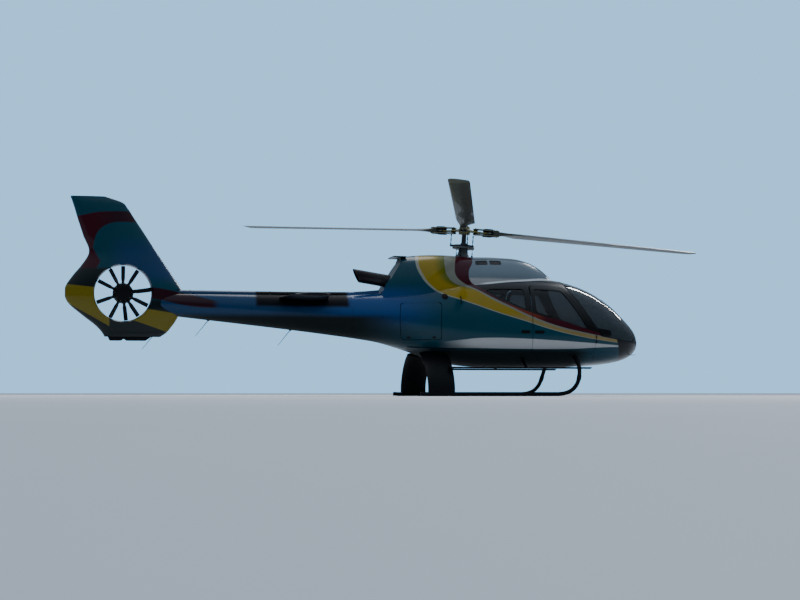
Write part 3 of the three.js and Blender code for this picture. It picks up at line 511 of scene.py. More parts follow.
def show(name, shape, materials, body="airframe", replaces=""):
    """Puts a shape into the scene as a piece that rides on a body, with the named materials on it."""
    mesh = mesh_of(shape)
    obj = bpy.data.objects.new(name, mesh)
    bpy.context.scene.collection.objects.link(obj)
    mesh.name = name
    mesh.materials.clear()
    for material in materials if isinstance(materials, list) else [materials]:
        mesh.materials.append(MATERIALS[material])
    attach(obj, body)
    if replaces:
        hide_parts(replaces)
    return obj


def pair(name, shape, materials, body="airframe", replaces="", level=None):
    """Shows a left piece and its mirrored right one; the body and the replaced node get the side's name."""
    left = mesh_of(shape)
    for side in SIDES:
        mesh = left.copy() if side == "left" else flip_side(left)
        mesh = shade(mesh, level) if level else creased(mesh)
        show(f"{name}_{side}", mesh, materials, body.format(side), replaces.format(side))


# ---------------------------------------------------------------- materials

MATERIALS = {}


def linear(red, green, blue, alpha=1.0):
    """A colour picked on a 0 to 255 screen scale, as Blender's linear one."""
    def one(v):
        v /= 255
        return v / 12.92 if v <= 0.04045 else ((v + 0.055) / 1.055) ** 2.4
    return one(red), one(green), one(blue), alpha


class Wiring:
    """Short calls that add a node to a tree and join or set its inputs."""

    def __init__(self, tree):
        self.tree = tree

    def feed(self, socket, value):
        """Joins a socket to another node's output or sets it, and leaves it where the value is None."""
        if isinstance(value, bpy.types.NodeSocket):
            self.tree.links.new(value, socket)
        elif value is not None:
            socket.default_value = value

    def put(self, kind, *values, out=0, **settings):
        """A node's output. Values go into its inputs in order, and settings with a capital into the inputs of that
        name; the others are the node's own."""
        node = self.tree.nodes.new(kind)
        inputs = dict(enumerate(values))
        for key, value in settings.items():
            if key[0].isupper():
                inputs[key] = value
            else:
                setattr(node, key, value)
        for place, value in inputs.items():
            self.feed(node.inputs[place], value)
        return node.outputs[out]

    def math(self, operation, *values, clamp=False):
        return self.put("ShaderNodeMath", *values, operation=operation, use_clamp=clamp)

    def times(self, product, *values):
        for value in values:
            product = self.math("MULTIPLY", product, value)
        return product

    def less(self, value):
        """What is left of 1."""
        return self.math("SUBTRACT", 1.0, value)

    def step(self, value, start, end):
        """0 before start, 1 after end, and a straight ramp between them."""
        return self.put("ShaderNodeMapRange", value, start, end, 0.0, 1.0)

    def ease(self, value, start, end):
        """As step, with a smooth start and end."""
        return self.put("ShaderNodeMapRange", value, start, end, 0.0, 1.0, interpolation_type="SMOOTHSTEP")

    def blend(self, share, first, second):
        """A mix of two colours, which are the node's inputs 6 and 7."""
        return self.put("ShaderNodeMix", share, *[None] * 5, first, second, out=2, data_type="RGBA")

    def tint(self, colour, tone):
        if not isinstance(colour, bpy.types.NodeSocket):
            colour = colour[:3]
        return self.put("ShaderNodeVectorMath", colour, tone, operation="MULTIPLY")

    def curve(self, value, points):
        """A smooth curve through (value, result) points, held level beyond its ends."""
        x, y = zip(*sorted(points))
        low, high, bottom, top = x[0], x[-1], min(y) - 0.01, max(y) + 0.01
        node = self.tree.nodes.new("ShaderNodeFloatCurve")
        line = node.mapping.curves[0]
        while len(line.points) < len(points):
            line.points.new(0.5, 0.5)
        for spot, a, b in zip(line.points, x, y):
            spot.location = ((a - low) / (high - low), (b - bottom) / (top - bottom))
        node.mapping.update()
        self.feed(node.inputs["Value"], self.step(value, low, high))
        return self.put("ShaderNodeMapRange", node.outputs[0], 0.0, 1.0, bottom, top)

    def split(self, vector):
        node = self.tree.nodes.new("ShaderNodeSeparateXYZ")
        self.feed(node.inputs[0], vector)
        return node.outputs

    def group(self, name, **inputs):
        node = self.tree.nodes.new("ShaderNodeGroup")
        node.node_tree = GROUPS[name]
        for key, value in inputs.items():
            self.feed(node.inputs[key], value)
        return node.outputs


class PaintWiring(Wiring):
    """Paint edges in side view. A place is ahead of an edge where x is more than the edge's x at that height, and
    above one where its height over the ground is more than the edge's at that x."""
    soft = 0.004

    def look(self, place):
        self.x, _, z = self.split(place)
        self.height = self.math("ADD", z, HOOK)
        return self.x, self.height

    def ahead(self, rows, shift=0.0, soft=0.006):
        gap = self.math("SUBTRACT", self.x, self.curve(self.height, rows))
        return self.step(gap, shift - soft, shift + soft)

    def above(self, rows, shift=0.0):
        gap = self.math("SUBTRACT", self.height, self.curve(self.x, rows))
        return self.step(gap, shift - self.soft, shift + self.soft)

    def between(self, low, top):
        return self.times(self.above(low), self.less(self.above(top)))


GROUPS = {}


def new_group(name, inputs, outputs, kind=Wiring):
    """An empty shader group. Its inputs are a place and those given as (name, kind, default)."""
    tree = bpy.data.node_groups.new(name, "ShaderNodeTree")
    for label, sort, default in (("Place", "Vector", None), *inputs):
        socket = tree.interface.new_socket(label, in_out="INPUT", socket_type="NodeSocket" + sort)
        if default is not None:
            socket.default_value = default
    for label, sort in outputs:
        tree.interface.new_socket(label, in_out="OUTPUT", socket_type="NodeSocket" + sort)
    GROUPS[name] = tree
    return kind(tree), tree.nodes.new("NodeGroupInput").outputs, tree.nodes.new("NodeGroupOutput").inputs


def wear_group():
    """Dust, fine scratches and small unevenness: two noises, one drawn out along X, as a tint, a roughness and a
    height."""
    w, given, out = new_group("surface wear", [("Scale", "Float", 8.0), ("Amount", "Float", 1.0)],
                              [("Tint", "Float"), ("Roughness", "Float"), ("Height", "Float")])
    broad = w.put("ShaderNodeTexNoise", Vector=given["Place"], Scale=given["Scale"], Detail=4.0, Roughness=0.6)
    drawn = w.put("ShaderNodeMapping", given["Place"], Scale=(0.35, 1.0, 1.6))
    fine = w.put("ShaderNodeTexNoise", Vector=drawn, Scale=w.times(given["Scale"], 9.0), Detail=3.0, Roughness=0.65)
    lean = w.math("SUBTRACT", w.math("ADD", w.times(broad, 0.7), w.times(fine, 0.3)), 0.5)
    w.feed(out["Tint"], w.math("MULTIPLY_ADD", lean, w.times(given["Amount"], 0.5), 1.0))
    w.feed(out["Roughness"], w.times(lean, given["Amount"], 0.35))
    w.feed(out["Height"], fine)


# Paint edges down the side, from the cowling's top to the nose: height above ground, x
GOLD_REAR = [(2.68, -.92), (2.46, -.98), (2.21, -.90), (2.03, -.76), (1.88, -.54), (1.78, -.27), (1.68, .01),
             (1.53, .44), (1.37, .98), (1.22, 1.49), (1.11, 2.01), (1.02, 2.67), (.97, 3.3)]
GOLD_FRONT = [(2.68, -.45), (2.41, -.51), (2.20, -.46), (2.08, -.33), (1.98, -.04), (1.77, .31), (1.63, .60),
              (1.45, .99), (1.28, 1.49), (1.17, 2.01), (1.07, 2.67), (1.01, 3.3)]
MAROON_REAR = [(2.68, -.20), (2.41, -.32), (2.20, -.29), (2.06, -.11), (1.94, .10), (1.80, .34), (1.66, .62),
               (1.475, 1.02), (1.30, 1.53), (1.19, 2.04), (1.085, 2.69), (1.02, 3.3)]
MAROON_FRONT = [(2.68, .06), (2.51, .04), (2.31, -.06), (2.12, -.03), (2.02, .09), (1.83, .37), (1.66, .70),
                (1.49, 1.19), (1.40, 1.59), (1.22, 2.22), (1.11, 2.70), (1.04, 3.3)]
# Paint edges along the side: x, height above ground
SILVER_TOP = [(-.95, .93), (-.83, .97), (-.29, 1.03), (.29, 1.07), (.78, 1.06), (1.49, 1.03), (2.01, 1.00),
              (2.67, .96), (3.1, .93)]
SILVER_LOW = [(-.95, .92), (-.64, .89), (.02, .88), (.80, .87), (1.51, .87), (2.24, .90), (2.68, .92), (3.1, .93)]
ROOF_LINE = [(-.40, 2.03), (.18, 2.07), (.65, 2.12), (1.03, 2.15), (1.47, 2.18), (1.80, 2.16), (2.1, 2.08),
             (2.5, 1.93), (3.0, 1.60)]


def body_paint_group():
    """The painted bands of the cabin, cowlings and boom, each laid over those behind it, and painted shade under the
    belly and the boom.
    """
    w, given, out = new_group("body bands", [], [("Color", "Color"), ("Metal", "Float"), ("Matt", "Float")],
                              PaintWiring)
    x, height = w.look(given["Place"])
    colours = bpy.context.scene.helicopter_paint
    rear_body = w.times(w.ease(x, -0.45, -1.5), w.ease(x, -3.3, -2.2), w.ease(height, 1.15, 1.50),
                        w.ease(height, 2.12, 1.85))
    colour = w.blend(w.ease(x, -1.9, -2.6), colours.body, colours.boom_end)
    colour = w.blend(rear_body, colour, colours.boom)
    # Painted shade: the belly below the sill and the boom's underside are darkened to stand for the shade under them.
    # The same mask makes them rougher with less coat.
    low = w.math("MAXIMUM", w.times(w.ease(height, 0.92, 0.80), w.ease(x, 2.3, 1.9)),
                 w.times(w.ease(x, -0.9, -2.2), w.ease(height, 1.54, 1.42)))
    colour = w.blend(low, colour, colours.painted_underside_shade)
    patch = w.times(w.ease(x, -4.02, -3.94), w.ease(x, -2.22, -2.32), w.ease(height, 1.60, 1.68))
    colour = w.blend(patch, colour, colours.patch)
    silver = w.times(w.between(SILVER_LOW, SILVER_TOP), w.ease(x, -0.75, -0.05))
    colour = w.blend(silver, colour, colours.silver)
    colour = w.blend(w.ahead(GOLD_REAR, -0.055), colour, colours.pinstripe)
    olive = w.ease(w.math("SUBTRACT", x, w.curve(height, GOLD_FRONT)), -0.22, -0.02)
    gold = w.blend(w.times(olive, w.ease(height, 1.9, 2.1)), colours.gold, colours.olive)
    gold = w.blend(w.ease(height, 1.55, 1.40), gold, colours.tan)
    colour = w.blend(w.ahead(GOLD_REAR), colour, gold)
    colour = w.blend(w.ahead(GOLD_FRONT), colour, colours.grey_band)
    maroon = w.blend(w.times(w.ease(x, 0.45, 0.75), w.ease(x, 1.35, 1.05)), colours.maroon, colours.orange)
    colour = w.blend(w.ahead(MAROON_REAR), colour, maroon)
    roof, over = w.ahead(MAROON_FRONT), w.above(ROOF_LINE)
    surround = w.times(w.ease(x, 0.0, 0.06), w.less(over))
    upper = w.blend(w.ease(height, 2.22, 2.16), colours.cowl, colours.silver)
    upper = w.blend(surround, upper, colours.surround)
    line = w.times(over, w.less(w.above(ROOF_LINE, 0.035)), w.ease(x, 0.1, 0.3))
    colour = w.blend(roof, colour, w.blend(line, upper, colours.white))
    nose_lean = w.times(w.math("ABSOLUTE", w.math("SUBTRACT", height, 1.048)), 0.35)
    nose = w.step(w.math("SUBTRACT", x, nose_lean), 2.76, 2.775)
    metal = w.math("MAXIMUM", w.times(silver, 0.5), w.times(roof, w.less(surround), 0.45))
    w.feed(out["Color"], w.blend(nose, colour, colours.surround))
    w.feed(out["Metal"], w.times(metal, w.less(nose)))
    w.feed(out["Matt"], w.math("MAXIMUM", low, patch))


# Paint edges on the fin and shroud: x, height above ground
FIN_TOP_EDGE = [(-7.4, 3.20), (-7.05, 3.27), (-6.7, 3.33), (-6.2, 3.34), (-5.8, 3.30)]
FIN_FIELD_EDGE = [(-7.4, 2.2), (-7.02, 2.45), (-6.93, 2.62), (-6.88, 2.85), (-6.78, 3.02), (-6.6, 3.12), (-6.3, 3.15),
                  (-5.8, 3.1)]
AFT_GOLD_TOP = [(-7.4, 2.01), (-6.6, 1.92)]
AFT_GOLD_LOW = [(-7.4, 1.70), (-6.6, 1.25)]
FORE_GOLD_TOP = [(-6.4, 1.62), (-5.95, 1.57), (-5.45, 1.50), (-5.2, 1.46)]
FORE_GOLD_LOW = [(-6.4, 1.42), (-6.15, 1.35), (-5.70, 1.20), (-5.4, 1.10)]


def tail_paint_group():
    """The bands of the fin and the shroud: fields split by edges whose height is a function of x, and slanted
    lines."""
    w, given, out = new_group("tail bands", [], [("Color", "Color")], PaintWiring)
    w.soft = 0.006
    x, height = w.look(given["Place"])
    colours = bpy.context.scene.helicopter_paint
    bright = w.times(w.ease(x, -6.7, -6.3), w.ease(height, 2.95, 2.6), w.ease(height, 1.98, 2.2))
    colour = w.blend(bright, colours.body, colours.boom_end)
    tone = w.blend(w.ease(x, -6.95, -6.45), colours.maroon, colours.maroon_dark)
    colour = w.blend(w.between(FIN_FIELD_EDGE, FIN_TOP_EDGE), colour, tone)
    slant = w.times(w.math("ABSOLUTE", w.math("SUBTRACT", height, 2.42)), 0.55)
    trailing = w.times(w.step(w.math("ADD", x, slant), -6.76, -6.80), w.step(height, 2.214, 2.226),
                       w.step(height, 3.106, 3.094))
    colour = w.blend(trailing, colour, colours.maroon)
    colour = w.blend(w.times(w.step(height, 2.33, 2.27), w.step(x, -6.45, -6.55)), colour, colours.green)
    colour = w.blend(w.step(height, 1.80, 1.70), colour, colours.green)
    for edges, end in (((AFT_GOLD_LOW, AFT_GOLD_TOP), (-6.60, -6.62)),
                       ((FORE_GOLD_LOW, FORE_GOLD_TOP), (-6.30, -6.28))):
        colour = w.blend(w.times(w.between(*edges), w.step(x, *end)), colour, colours.tail_gold)
    w.feed(out["Color"], colour)


def material(name, roughness=0.5, metallic=0.0, colour=None, coat=0.0, gloss=0.35, **fixed):
    """A Principled material with what is the same all over set on its own sockets."""
    made = bpy.data.materials.new(name)
    made.use_nodes = True
    shader = made.node_tree.nodes["Principled BSDF"].inputs
    for key, value in {"Roughness": roughness, "Metallic": metallic, "Base_Color": colour, "Coat_Weight": coat,
                       "Coat_Roughness": 0.06, "Specular_IOR_Level": gloss, **fixed}.items():
        if value is not None:
            shader[key.replace("_", " ")].default_value = value
    MATERIALS[name] = made
    w = Wiring(made.node_tree)
    return w, shader, w.put("ShaderNodeTexCoord", out=3)


def finish(w, shader, effect, colour, roughness=None, bump=0.0, distance=0.001):
    """A colour tinted by an effect's group, its roughness added to one, and its height as a fine bump."""
    w.feed(shader["Base Color"], w.tint(colour, effect["Tint"]))
    if roughness is not None:
        w.feed(shader["Roughness"], w.math("ADD", effect["Roughness"], roughness, clamp=True))
    if bump:
        w.feed(shader["Normal"], w.put("ShaderNodeBump", Strength=bump, Distance=distance, Height=effect["Height"]))


def weave_group():
    """Cloth: two crossed waves whose sum is the height of the threads, and a slow noise that tints it. The height tints
    it too, darker in the dips and lighter on the crests: painted shade and painted highlight.
    """
    w, given, out = new_group("woven cloth", [("Threads", "Float", 900.0)], [("Tint", "Float"), ("Height", "Float")])
    x, y, z = w.split(given["Place"])
    pace = w.times(given["Threads"], math.pi)
    first, second = (w.math("SINE", w.times(w.math("ADD", axis, w.times(z, 0.7)), pace)) for axis in (x, y))
    height = w.times(w.math("ADD", first, second), 0.25)
    cloud = w.put("ShaderNodeTexNoise", Vector=given["Place"], Scale=14.0, Detail=5.0)
    # The thread height adds to the tint: painted shade in the dips between threads and painted highlight on their
    # crests.
    w.feed(out["Tint"], w.math("ADD", w.math("MULTIPLY_ADD", cloud, 0.5, 0.72), w.times(height, 0.35)))
    w.feed(out["Height"], height)


def grain_group():
    """Moulded grain: small cells whose distance is the height, as on cast or moulded parts."""
    w, given, out = new_group("moulded grain", [("Scale", "Float", 400.0)], [("Tint", "Float"), ("Height", "Float")])
    cloud = w.put("ShaderNodeTexNoise", Vector=given["Place"], Scale=9.0, Detail=4.0)
    w.feed(out["Tint"], w.math("MULTIPLY_ADD", cloud, 0.6, 0.7))
    w.feed(out["Height"], w.put("ShaderNodeTexVoronoi", Vector=given["Place"], Scale=given["Scale"]))


def root_band_group():
    """The dark red band where the boom runs into the shroud, laid over a colour."""
    w, given, out = new_group("boom root band", [("Under", "Color", None)], [("Color", "Color")], PaintWiring)
    x, _ = w.look(given["Place"])
    band = w.times(w.between(ROOT_LOW, ROOT_TOP), w.step(x, -6.2, -6.15), w.ease(x, -4.62, -4.80))
    w.feed(out["Color"], w.blend(band, given["Under"], bpy.context.scene.helicopter_paint.maroon_dark))


ROOT_TOP = [(-6.3, 1.98), (-5.85, 1.96), (-5.3, 1.87), (-5.0, 1.80), (-4.6, 1.70)]
ROOT_LOW = [(-6.3, 1.80), (-5.85, 1.76), (-5.3, 1.65), (-5.0, 1.61), (-4.6, 1.60)]


def materials():
    for build in (wear_group, body_paint_group, root_band_group, tail_paint_group, weave_group, grain_group):
        build()

    def worn(scale, amount):
        return w.group("surface wear", Place=place, Scale=scale, Amount=amount)

    w, shader, place = material("paint", gloss=0.12)
    bands = w.group("body bands", Place=place)
    colour = w.group("boom root band", Place=place, Under=bands["Color"])["Color"]
    finish(w, shader, worn(3.0, 0.45), colour, w.math("MULTIPLY_ADD", bands["Matt"], 0.3, 0.30))
    w.feed(shader["Metallic"], bands["Metal"])
    w.feed(shader["Coat Weight"], w.math("MULTIPLY_ADD", bands["Matt"], -0.3, 0.3))

    w, shader, place = material("tail_paint", coat=0.3, gloss=0.12)
    bands = w.group("tail bands", Place=place)
    finish(w, shader, worn(3.0, 0.45), w.group("boom root band", Place=place, Under=bands["Color"])["Color"], 0.30)

    for name, roughness, metallic, colour, scale, amount, bump in (
            ("cut_edge", 0.55, 0.0, (34, 38, 42), 20.0, 0.6, 0.05),
            ("black_alloy", 0.52, 0.0, (2, 3, 6), 12.0, 0.9, 0.06),
            ("steel", 0.30, 1.0, (150, 152, 155), 30.0, 0.8, 0.05),
            ("casting", 0.50, 0.5, (84, 90, 92), 26.0, 0.9, 0.25),
            ("dark_steel", 0.40, 0.8, (54, 60, 64), 26.0, 0.8, 0.08),
            ("fan_alloy", 0.42, 0.3, (34, 36, 42), 26.0, 0.8, 0.08),
            ("rubber", 0.75, 0.0, (14, 14, 16), 40.0, 0.8, 0.2),
            ("hub_composite", 0.42, 0.0, (108, 104, 58), 16.0, 0.9, 0.05),
            ("sleeve_composite", 0.42, 0.0, (92, 94, 78), 16.0, 0.9, 0.05),
            ("inner_skin", 0.70, 0.0, (40, 46, 46), 14.0, 0.8, 0.05),
            ("stabiliser_paint", 0.38, 0.0, (14, 17, 24), 6.0, 0.7, 0.03),
            ("panel_grey", 0.6, 0.0, (40, 42, 46), 30.0, 0.5, 0.1),
            ("lining", 0.85, 0.0, (46, 48, 52), 30.0, 0.6, 0.05)):
        w, shader, place = material(name, metallic=metallic, gloss=0.15)
        finish(w, shader, worn(scale, amount), linear(*colour), roughness, bump)

    w, shader, place = material("exhaust", metallic=0.85)
    burnt = w.blend(w.ease(w.split(place)[0], -1.45, -2.05), linear(54, 54, 55), linear(34, 30, 33))
    finish(w, shader, worn(9.0, 1.2), burnt, 0.45)

    w, shader, place = material("rotor_composite", coat=0.2)
    along, span, _ = w.split(w.put("ShaderNodeUVMap", uv_map="chord and span"))
    strip = w.times(w.step(along, 0.945, 0.95), w.step(span, 0.22, 0.225))
    colour = w.blend(strip, linear(44, 46, 40), linear(120, 122, 124))
    colour = w.blend(w.step(span, 0.955, 0.957), colour, linear(70, 72, 60))
    finish(w, shader, worn(7.0, 0.9), colour, w.math("MULTIPLY_ADD", strip, -0.12, 0.42))
    w.feed(shader["Metallic"], w.times(strip, 0.9))

    for name, colour, threads, bump in (("upholstery", (36, 38, 43), 900.0, 0.35),
                                        ("carpet", (30, 31, 34), 500.0, 0.6)):
        w, shader, place = material(name, 0.85, gloss=0.2, Sheen_Weight=0.12)
        finish(w, shader, w.group("woven cloth", Place=place, Threads=threads), linear(*colour), None, bump, 0.0015)

    for name, colour, roughness in (("trim", (30, 31, 34), 0.55), ("dial", (14, 15, 17), 0.35)):
        w, shader, place = material(name, roughness)
        finish(w, shader, w.group("moulded grain", Place=place, Scale=420.0), linear(*colour), None, 0.25, 0.0006)

    w, shader, place = material("screen", 0.12, coat=0.5)
    lines = w.math("SINE", w.times(w.split(place)[2], 260.0))
    w.feed(shader["Base Color"],
           w.blend(w.math("MULTIPLY_ADD", lines, 0.5, 0.5), linear(8, 16, 22), linear(16, 40, 52)))

    w, shader, place = material("grille", 0.5, 0.3)
    x, _, z = w.split(place)
    mesh = w.times(w.math("SINE", w.times(x, 520.0)), w.math("SINE", w.times(z, 520.0)))
    # Colour follows the bump's height: near-black where the mesh sinks and lighter where it rises, painted shade in the
    # sunken cells.
    w.feed(shader["Base Color"], w.blend(w.step(mesh, -0.1, 0.3), linear(10, 11, 12), linear(52, 54, 56)))
    w.feed(shader["Normal"], w.put("ShaderNodeBump", Strength=0.6, Distance=0.002, Height=mesh))

    for name, colour, roughness in (("glass", (0.17, 0.145, 0.135, 1), 0.015),
                                    ("lamp_glass", (0.94, 0.95, 0.96, 1), 0.03),
                                    ("red_lens", linear(200, 20, 16), 0.08), ("green_lens", linear(20, 150, 60), 0.08)):
        w, shader, place = material(name, roughness, 0.0, colour, IOR=1.3, Transmission_Weight=1.0)
        smear = w.put("ShaderNodeTexNoise", Vector=place, Scale=2.2, Detail=3.0)
        w.feed(shader["Roughness"], w.math("MULTIPLY_ADD", smear, 0.03, roughness - 0.012))

    material("reflector", 0.12, 1.0, linear(235, 236, 238))
    w, shader, place = material("stage", 0.85)
    cloud = w.put("ShaderNodeTexNoise", Vector=place, Scale=0.35, Detail=3.0)
    w.feed(shader["Base Color"], w.blend(cloud, linear(222, 225, 228), linear(232, 234, 236)))


# ---------------------------------------------------------------- fuselage, doors and glazing

def body_solid(inset=0.0, stations=150, count=144, rear=2.2):
    """The fuselage taken in by an inset, its rings even in the square root of the distance behind the nose."""
    s = np.linspace(math.sqrt(max(inset, 0.001)), math.sqrt(NOSE + rear), stations)
    return loft(BODY.rings(NOSE - s * s, inset, count))


def flank_prism(corners, radius, start=300, end=1300, side=1):
    return prism(corners, *sorted((side * start, side * end)), radius)


SKIN = ["paint", "inner_skin", "cut_edge"]
CABIN_SKIN = ["paint", "lining", "cut_edge"]


def fuselage():
    """Shell between the fuselage form and the same form taken in by the wall, cut by side-view outlines."""
    wall = carved(body_solid(), (CUT, body_solid(WALL / 1000, 80, 96, 2.25)))
    lower = carved(wall, (KEEP, block(CABIN_REAR, 4000, -1500, 1500, 0, SILL - 0.2)))
    show("hull_skin", shade(lower, BODY.level), SKIN, replaces="lower_hull")
    cuts = [(CUT, flank_prism(outline, radius, start, side=side)) for side in SIDES.values()
            for outline, radius, start in ((FRONT_DOOR, CORNER, 300), (SLIDING_DOOR, CORNER, 300),
                                           (WINDSHIELD, 50, POST_HALF))]
    shell = carved(wall, (KEEP, block(CABIN_REAR, 4000, -1500, 1500, SILL + 0.2, 3000)), *cuts,
                   (CUT, lamp_bore(LAMP["radius"] + SEAT_GAP)))
    show("cabin_shell", shade(shell, BODY.level), CABIN_SKIN, replaces="cabin_frame")

    corners = inset(FRONT_DOOR, DOOR_GAP)
    corners[3][0] += SWING_GAP
    for name, outline, window, body in (
            ("front_door", corners, FRONT_WINDOW, "front_door_{}_body"),
            ("sliding_door", inset(SLIDING_DOOR, 1), SLIDING_WINDOW, "airframe")):
        door = carved(wall, (KEEP, flank_prism(outline, CORNER)), (CUT, flank_prism(window, CORNER)))
        pair(name + "_skin", door, CABIN_SKIN, body, name + "_{}", BODY.level)

    panes = carved(body_solid(0.010), (CUT, body_solid(0.018, rear=2.25)))
    for name, outline, radius, start, body in (
            ("windshield", WINDSHIELD, 50, POST_HALF + SEAT_GAP, "airframe"),
            ("front_door_glass", FRONT_WINDOW, CORNER, 300, "front_door_{}_body"),
            ("sliding_door_glass", SLIDING_WINDOW, CORNER, 300, "airframe")):
        pane = largest(carved(panes, (KEEP, flank_prism(inset(outline, SEAT_GAP), radius, start))))
        pair(name + "_pane", pane, ["glass"] * 3, body, name + "_{}", BODY.level)

    aft = carved(wall, (KEEP, block(BOOM_FRONT, CABIN_REAR - SEAT_GAP, -1500, 1500, 0, 3000)))
    lid = carved(aft, (KEEP, baggage_cutter(1, BAGGAGE["gap"])), (ADD, baggage_rod(1, 9, 60)))
    pair("baggage_door_skin", lid, SKIN, "baggage_door_{}_body", "baggage_door_{}", BODY.level)
    for side in SIDES.values():
        aft = carved(aft, (CUT, baggage_cutter(side, 0)), (CUT, baggage_rod(side, 9.7, 50)))
    show("aft_shell", shade(aft, BODY.level), SKIN, replaces="aft_fuselage")


BAGGAGE = {"front": -620, "rear": -1350, "bottom": 1030, "top": 1715, "hinge": 1712, "front_y": 770, "rear_y": 512,
           "gap": 9}
BAGGAGE_SLANT = BAGGAGE["front_y"] - BAGGAGE["rear_y"], BAGGAGE["front"] - BAGGAGE["rear"]
BAGGAGE_YAW, BAGGAGE_LENGTH = math.atan2(*BAGGAGE_SLANT), math.hypot(*BAGGAGE_SLANT)


def baggage_cutter(side, amount):
    """The baggage door's outline, pushed through square to the tapering flank."""
    bottom, top = BAGGAGE["bottom"], BAGGAGE["top"]
    outline = inset([[0, bottom], [0, top], [-BAGGAGE_LENGTH, top], [-BAGGAGE_LENGTH, bottom]], amount)
    cutter = prism(outline, *sorted((side * -300, side * 200)), 60)
    return moved(cutter, lambda p: turned(p, side * BAGGAGE_YAW)
                 + [BAGGAGE["front"] / 1000, side * BAGGAGE["front_y"] / 1000, 0])


def baggage_rod(side, radius, margin):
    """A bar along the baggage door's hinge, short of its ends by a margin."""
    half = BAGGAGE_LENGTH / 2000 - margin / 1000
    middle = metres([(BAGGAGE["front"] + BAGGAGE["rear"]) / 2, side * (BAGGAGE["front_y"] + BAGGAGE["rear_y"]) / 2,
                     BAGGAGE["hinge"]])
    way = np.array([math.cos(BAGGAGE_YAW), side * math.sin(BAGGAGE_YAW), 0])
    return rod(middle - way * half, middle + way * half, radius / 1000, 20, 0.05)


LAMP = {"radius": 70, "x": 3235, "z": 885}


def lamp_bore(radius):
    x, z = LAMP["x"] / 1000, LAMP["z"] / 1000 - HOOK
    return rod((x, 0, z), (x + 0.3, 0, z), radius / 1000, 40, 0.01)


def on_flank(outline, inset_mm=0.0, side=1):
    """A side-view outline in millimetres laid on the fuselage's flank, as frame points."""
    x, z = np.asarray(outline, float).T / 1000
    z = z - HOOK
    return np.column_stack([x, side * BODY.flank(x, z, inset_mm / 1000), z])


def drawn_out(outline, gap=12.0, closed=True):
    """An outline's or an open line's points with more of them along its straight edges."""
    outline = np.asarray(outline, float)
    ends = np.roll(outline, -1, 0) if closed else outline[1:]
    made = []
    for a, b in zip(outline, ends):
        count = max(1, int(np.linalg.norm(b - a) / gap))
        made.append(a + (b - a) * (np.arange(count) / count)[:, None])
    return np.vstack(made)


def windshield_edge(count=60):
    """The windshield's edge on the skin: across the roof, down the sloping pillar, along the sill to the nose and
    back up beside the middle post."""
    roof_x, post, low = WINDSHIELD[1][0] / 1000, POST_HALF / 1000, WINDSHIELD[3][1] / 1000 - HOOK
    y = np.linspace(post, BODY.flank(roof_x, WINDSHIELD[1][1] / 1000 - HOOK)[0], 24)
    across = grid(roof_x, y, BODY.roof(roof_x, y))
    pillar = on_flank(drawn_out(WINDSHIELD[1:4], closed=False))
    x = np.linspace(WINDSHIELD[3][0] / 1000, NOSE - 0.005, 40)
    sill = grid(x, BODY.flank(x, low), low)
    sill = sill[sill[:, 1] > post]
    x = NOSE - np.linspace(math.sqrt(NOSE - sill[-1, 0]), math.sqrt(NOSE - roof_x), count) ** 2
    beam = grid(x, post, BODY.roof(x, post))
    return np.vstack([across, pillar, sill, beam[beam[:, 2] > low + 0.001][:-1]])


def grab_handle(x0, z0, x1, z1):
    """A bent bar on the left flank, standing off it between its feet."""
    ends, feet = (on_flank([[x0, z0], [x1, z1]], depth) for depth in (-18, 6))
    way = (ends[1] - ends[0]) * 0.18
    return sweep(smooth_path([feet[0], ends[0] + way * 0.2, ends[0] + way, ends[1] - way, ends[1] - way * 0.2,
                              feet[1]]), 0.008, 12)


def flank_plate(x, z, long, high, thick=6):
    """A thin plate on the left flank: a superellipse outline carried out of the skin, its face a little smaller."""
    a, b = squircle(turns(40), 4.0)
    middle, edge = np.array([x, z]), np.column_stack([long / 2 * a, high / 2 * b])
    return loft([on_flank(middle + edge, 6), on_flank(middle + edge, -thick),
                 on_flank(middle + edge * 0.94, -thick - 1.5)])


def seals_and_handles():
    """Rubber beads on window edges, grab handles, latches, hinge knuckles, the sliding door's rail and filler cap."""
    seal = bpy.context.scene.helicopter_sizes.seal_width / 2
    for name, outline, body in (("front", FRONT_WINDOW, "front_door_{}_body"), ("sliding", SLIDING_WINDOW, "airframe")):
        path = on_flank(drawn_out(rounded_outline(inset(outline, -3), CORNER)), 3)
        pair(name + "_window_seal", hoop(path, seal, 8, 0.5), "rubber", body)
    pair("windshield_seal", hoop(windshield_edge(), seal, 8, 0.45), "rubber")
    pair("front_door_handle", [grab_handle(1110, 1180, 1230, 1180), flank_plate(1170, 1180, 190, 60)], "black_alloy",
         "front_door_{}_body")
    pair("sliding_door_handle", [grab_handle(-285, 1705, -285, 1830), flank_plate(900, 1180, 170, 60),
                                 grab_handle(845, 1180, 955, 1180)], "black_alloy")
    rail = on_flank(np.linspace([-360, 862], [-1180, 905], 30), -5)
    pair("sliding_door_rail", sweep(rail, 0.011, 10, 0.6), "black_alloy")
    knuckles = []
    for z in (1.02 - HOOK, 1.10 - HOOK):
        y = BODY.flank(2.318, z)[0] + 0.001
        knuckles.append(rod((2.318, y, z - 0.035), (2.318, y, z + 0.035), 0.009, 14))
    pair("front_door_hinge", knuckles, "black_alloy")
    grips = [flank_plate(BAGGAGE["front"] + (BAGGAGE["rear"] - BAGGAGE["front"]) * along, 1075, 60, 34, 4)
             for along in (0.2, 0.8)]
    pair("baggage_latch", grips, "black_alloy", "baggage_door_{}_body")
    cap = 55 * np.column_stack([np.cos(turns(36)), np.sin(turns(36))])
    show("fuel_cap", loft([on_flank([-560, 1830] + cap * share, depth, -1)
                           for share, depth in ((1, 6), (1, -5), (0.9, -7))]), "black_alloy")


# ---------------------------------------------------------------- cowlings, boom and tail

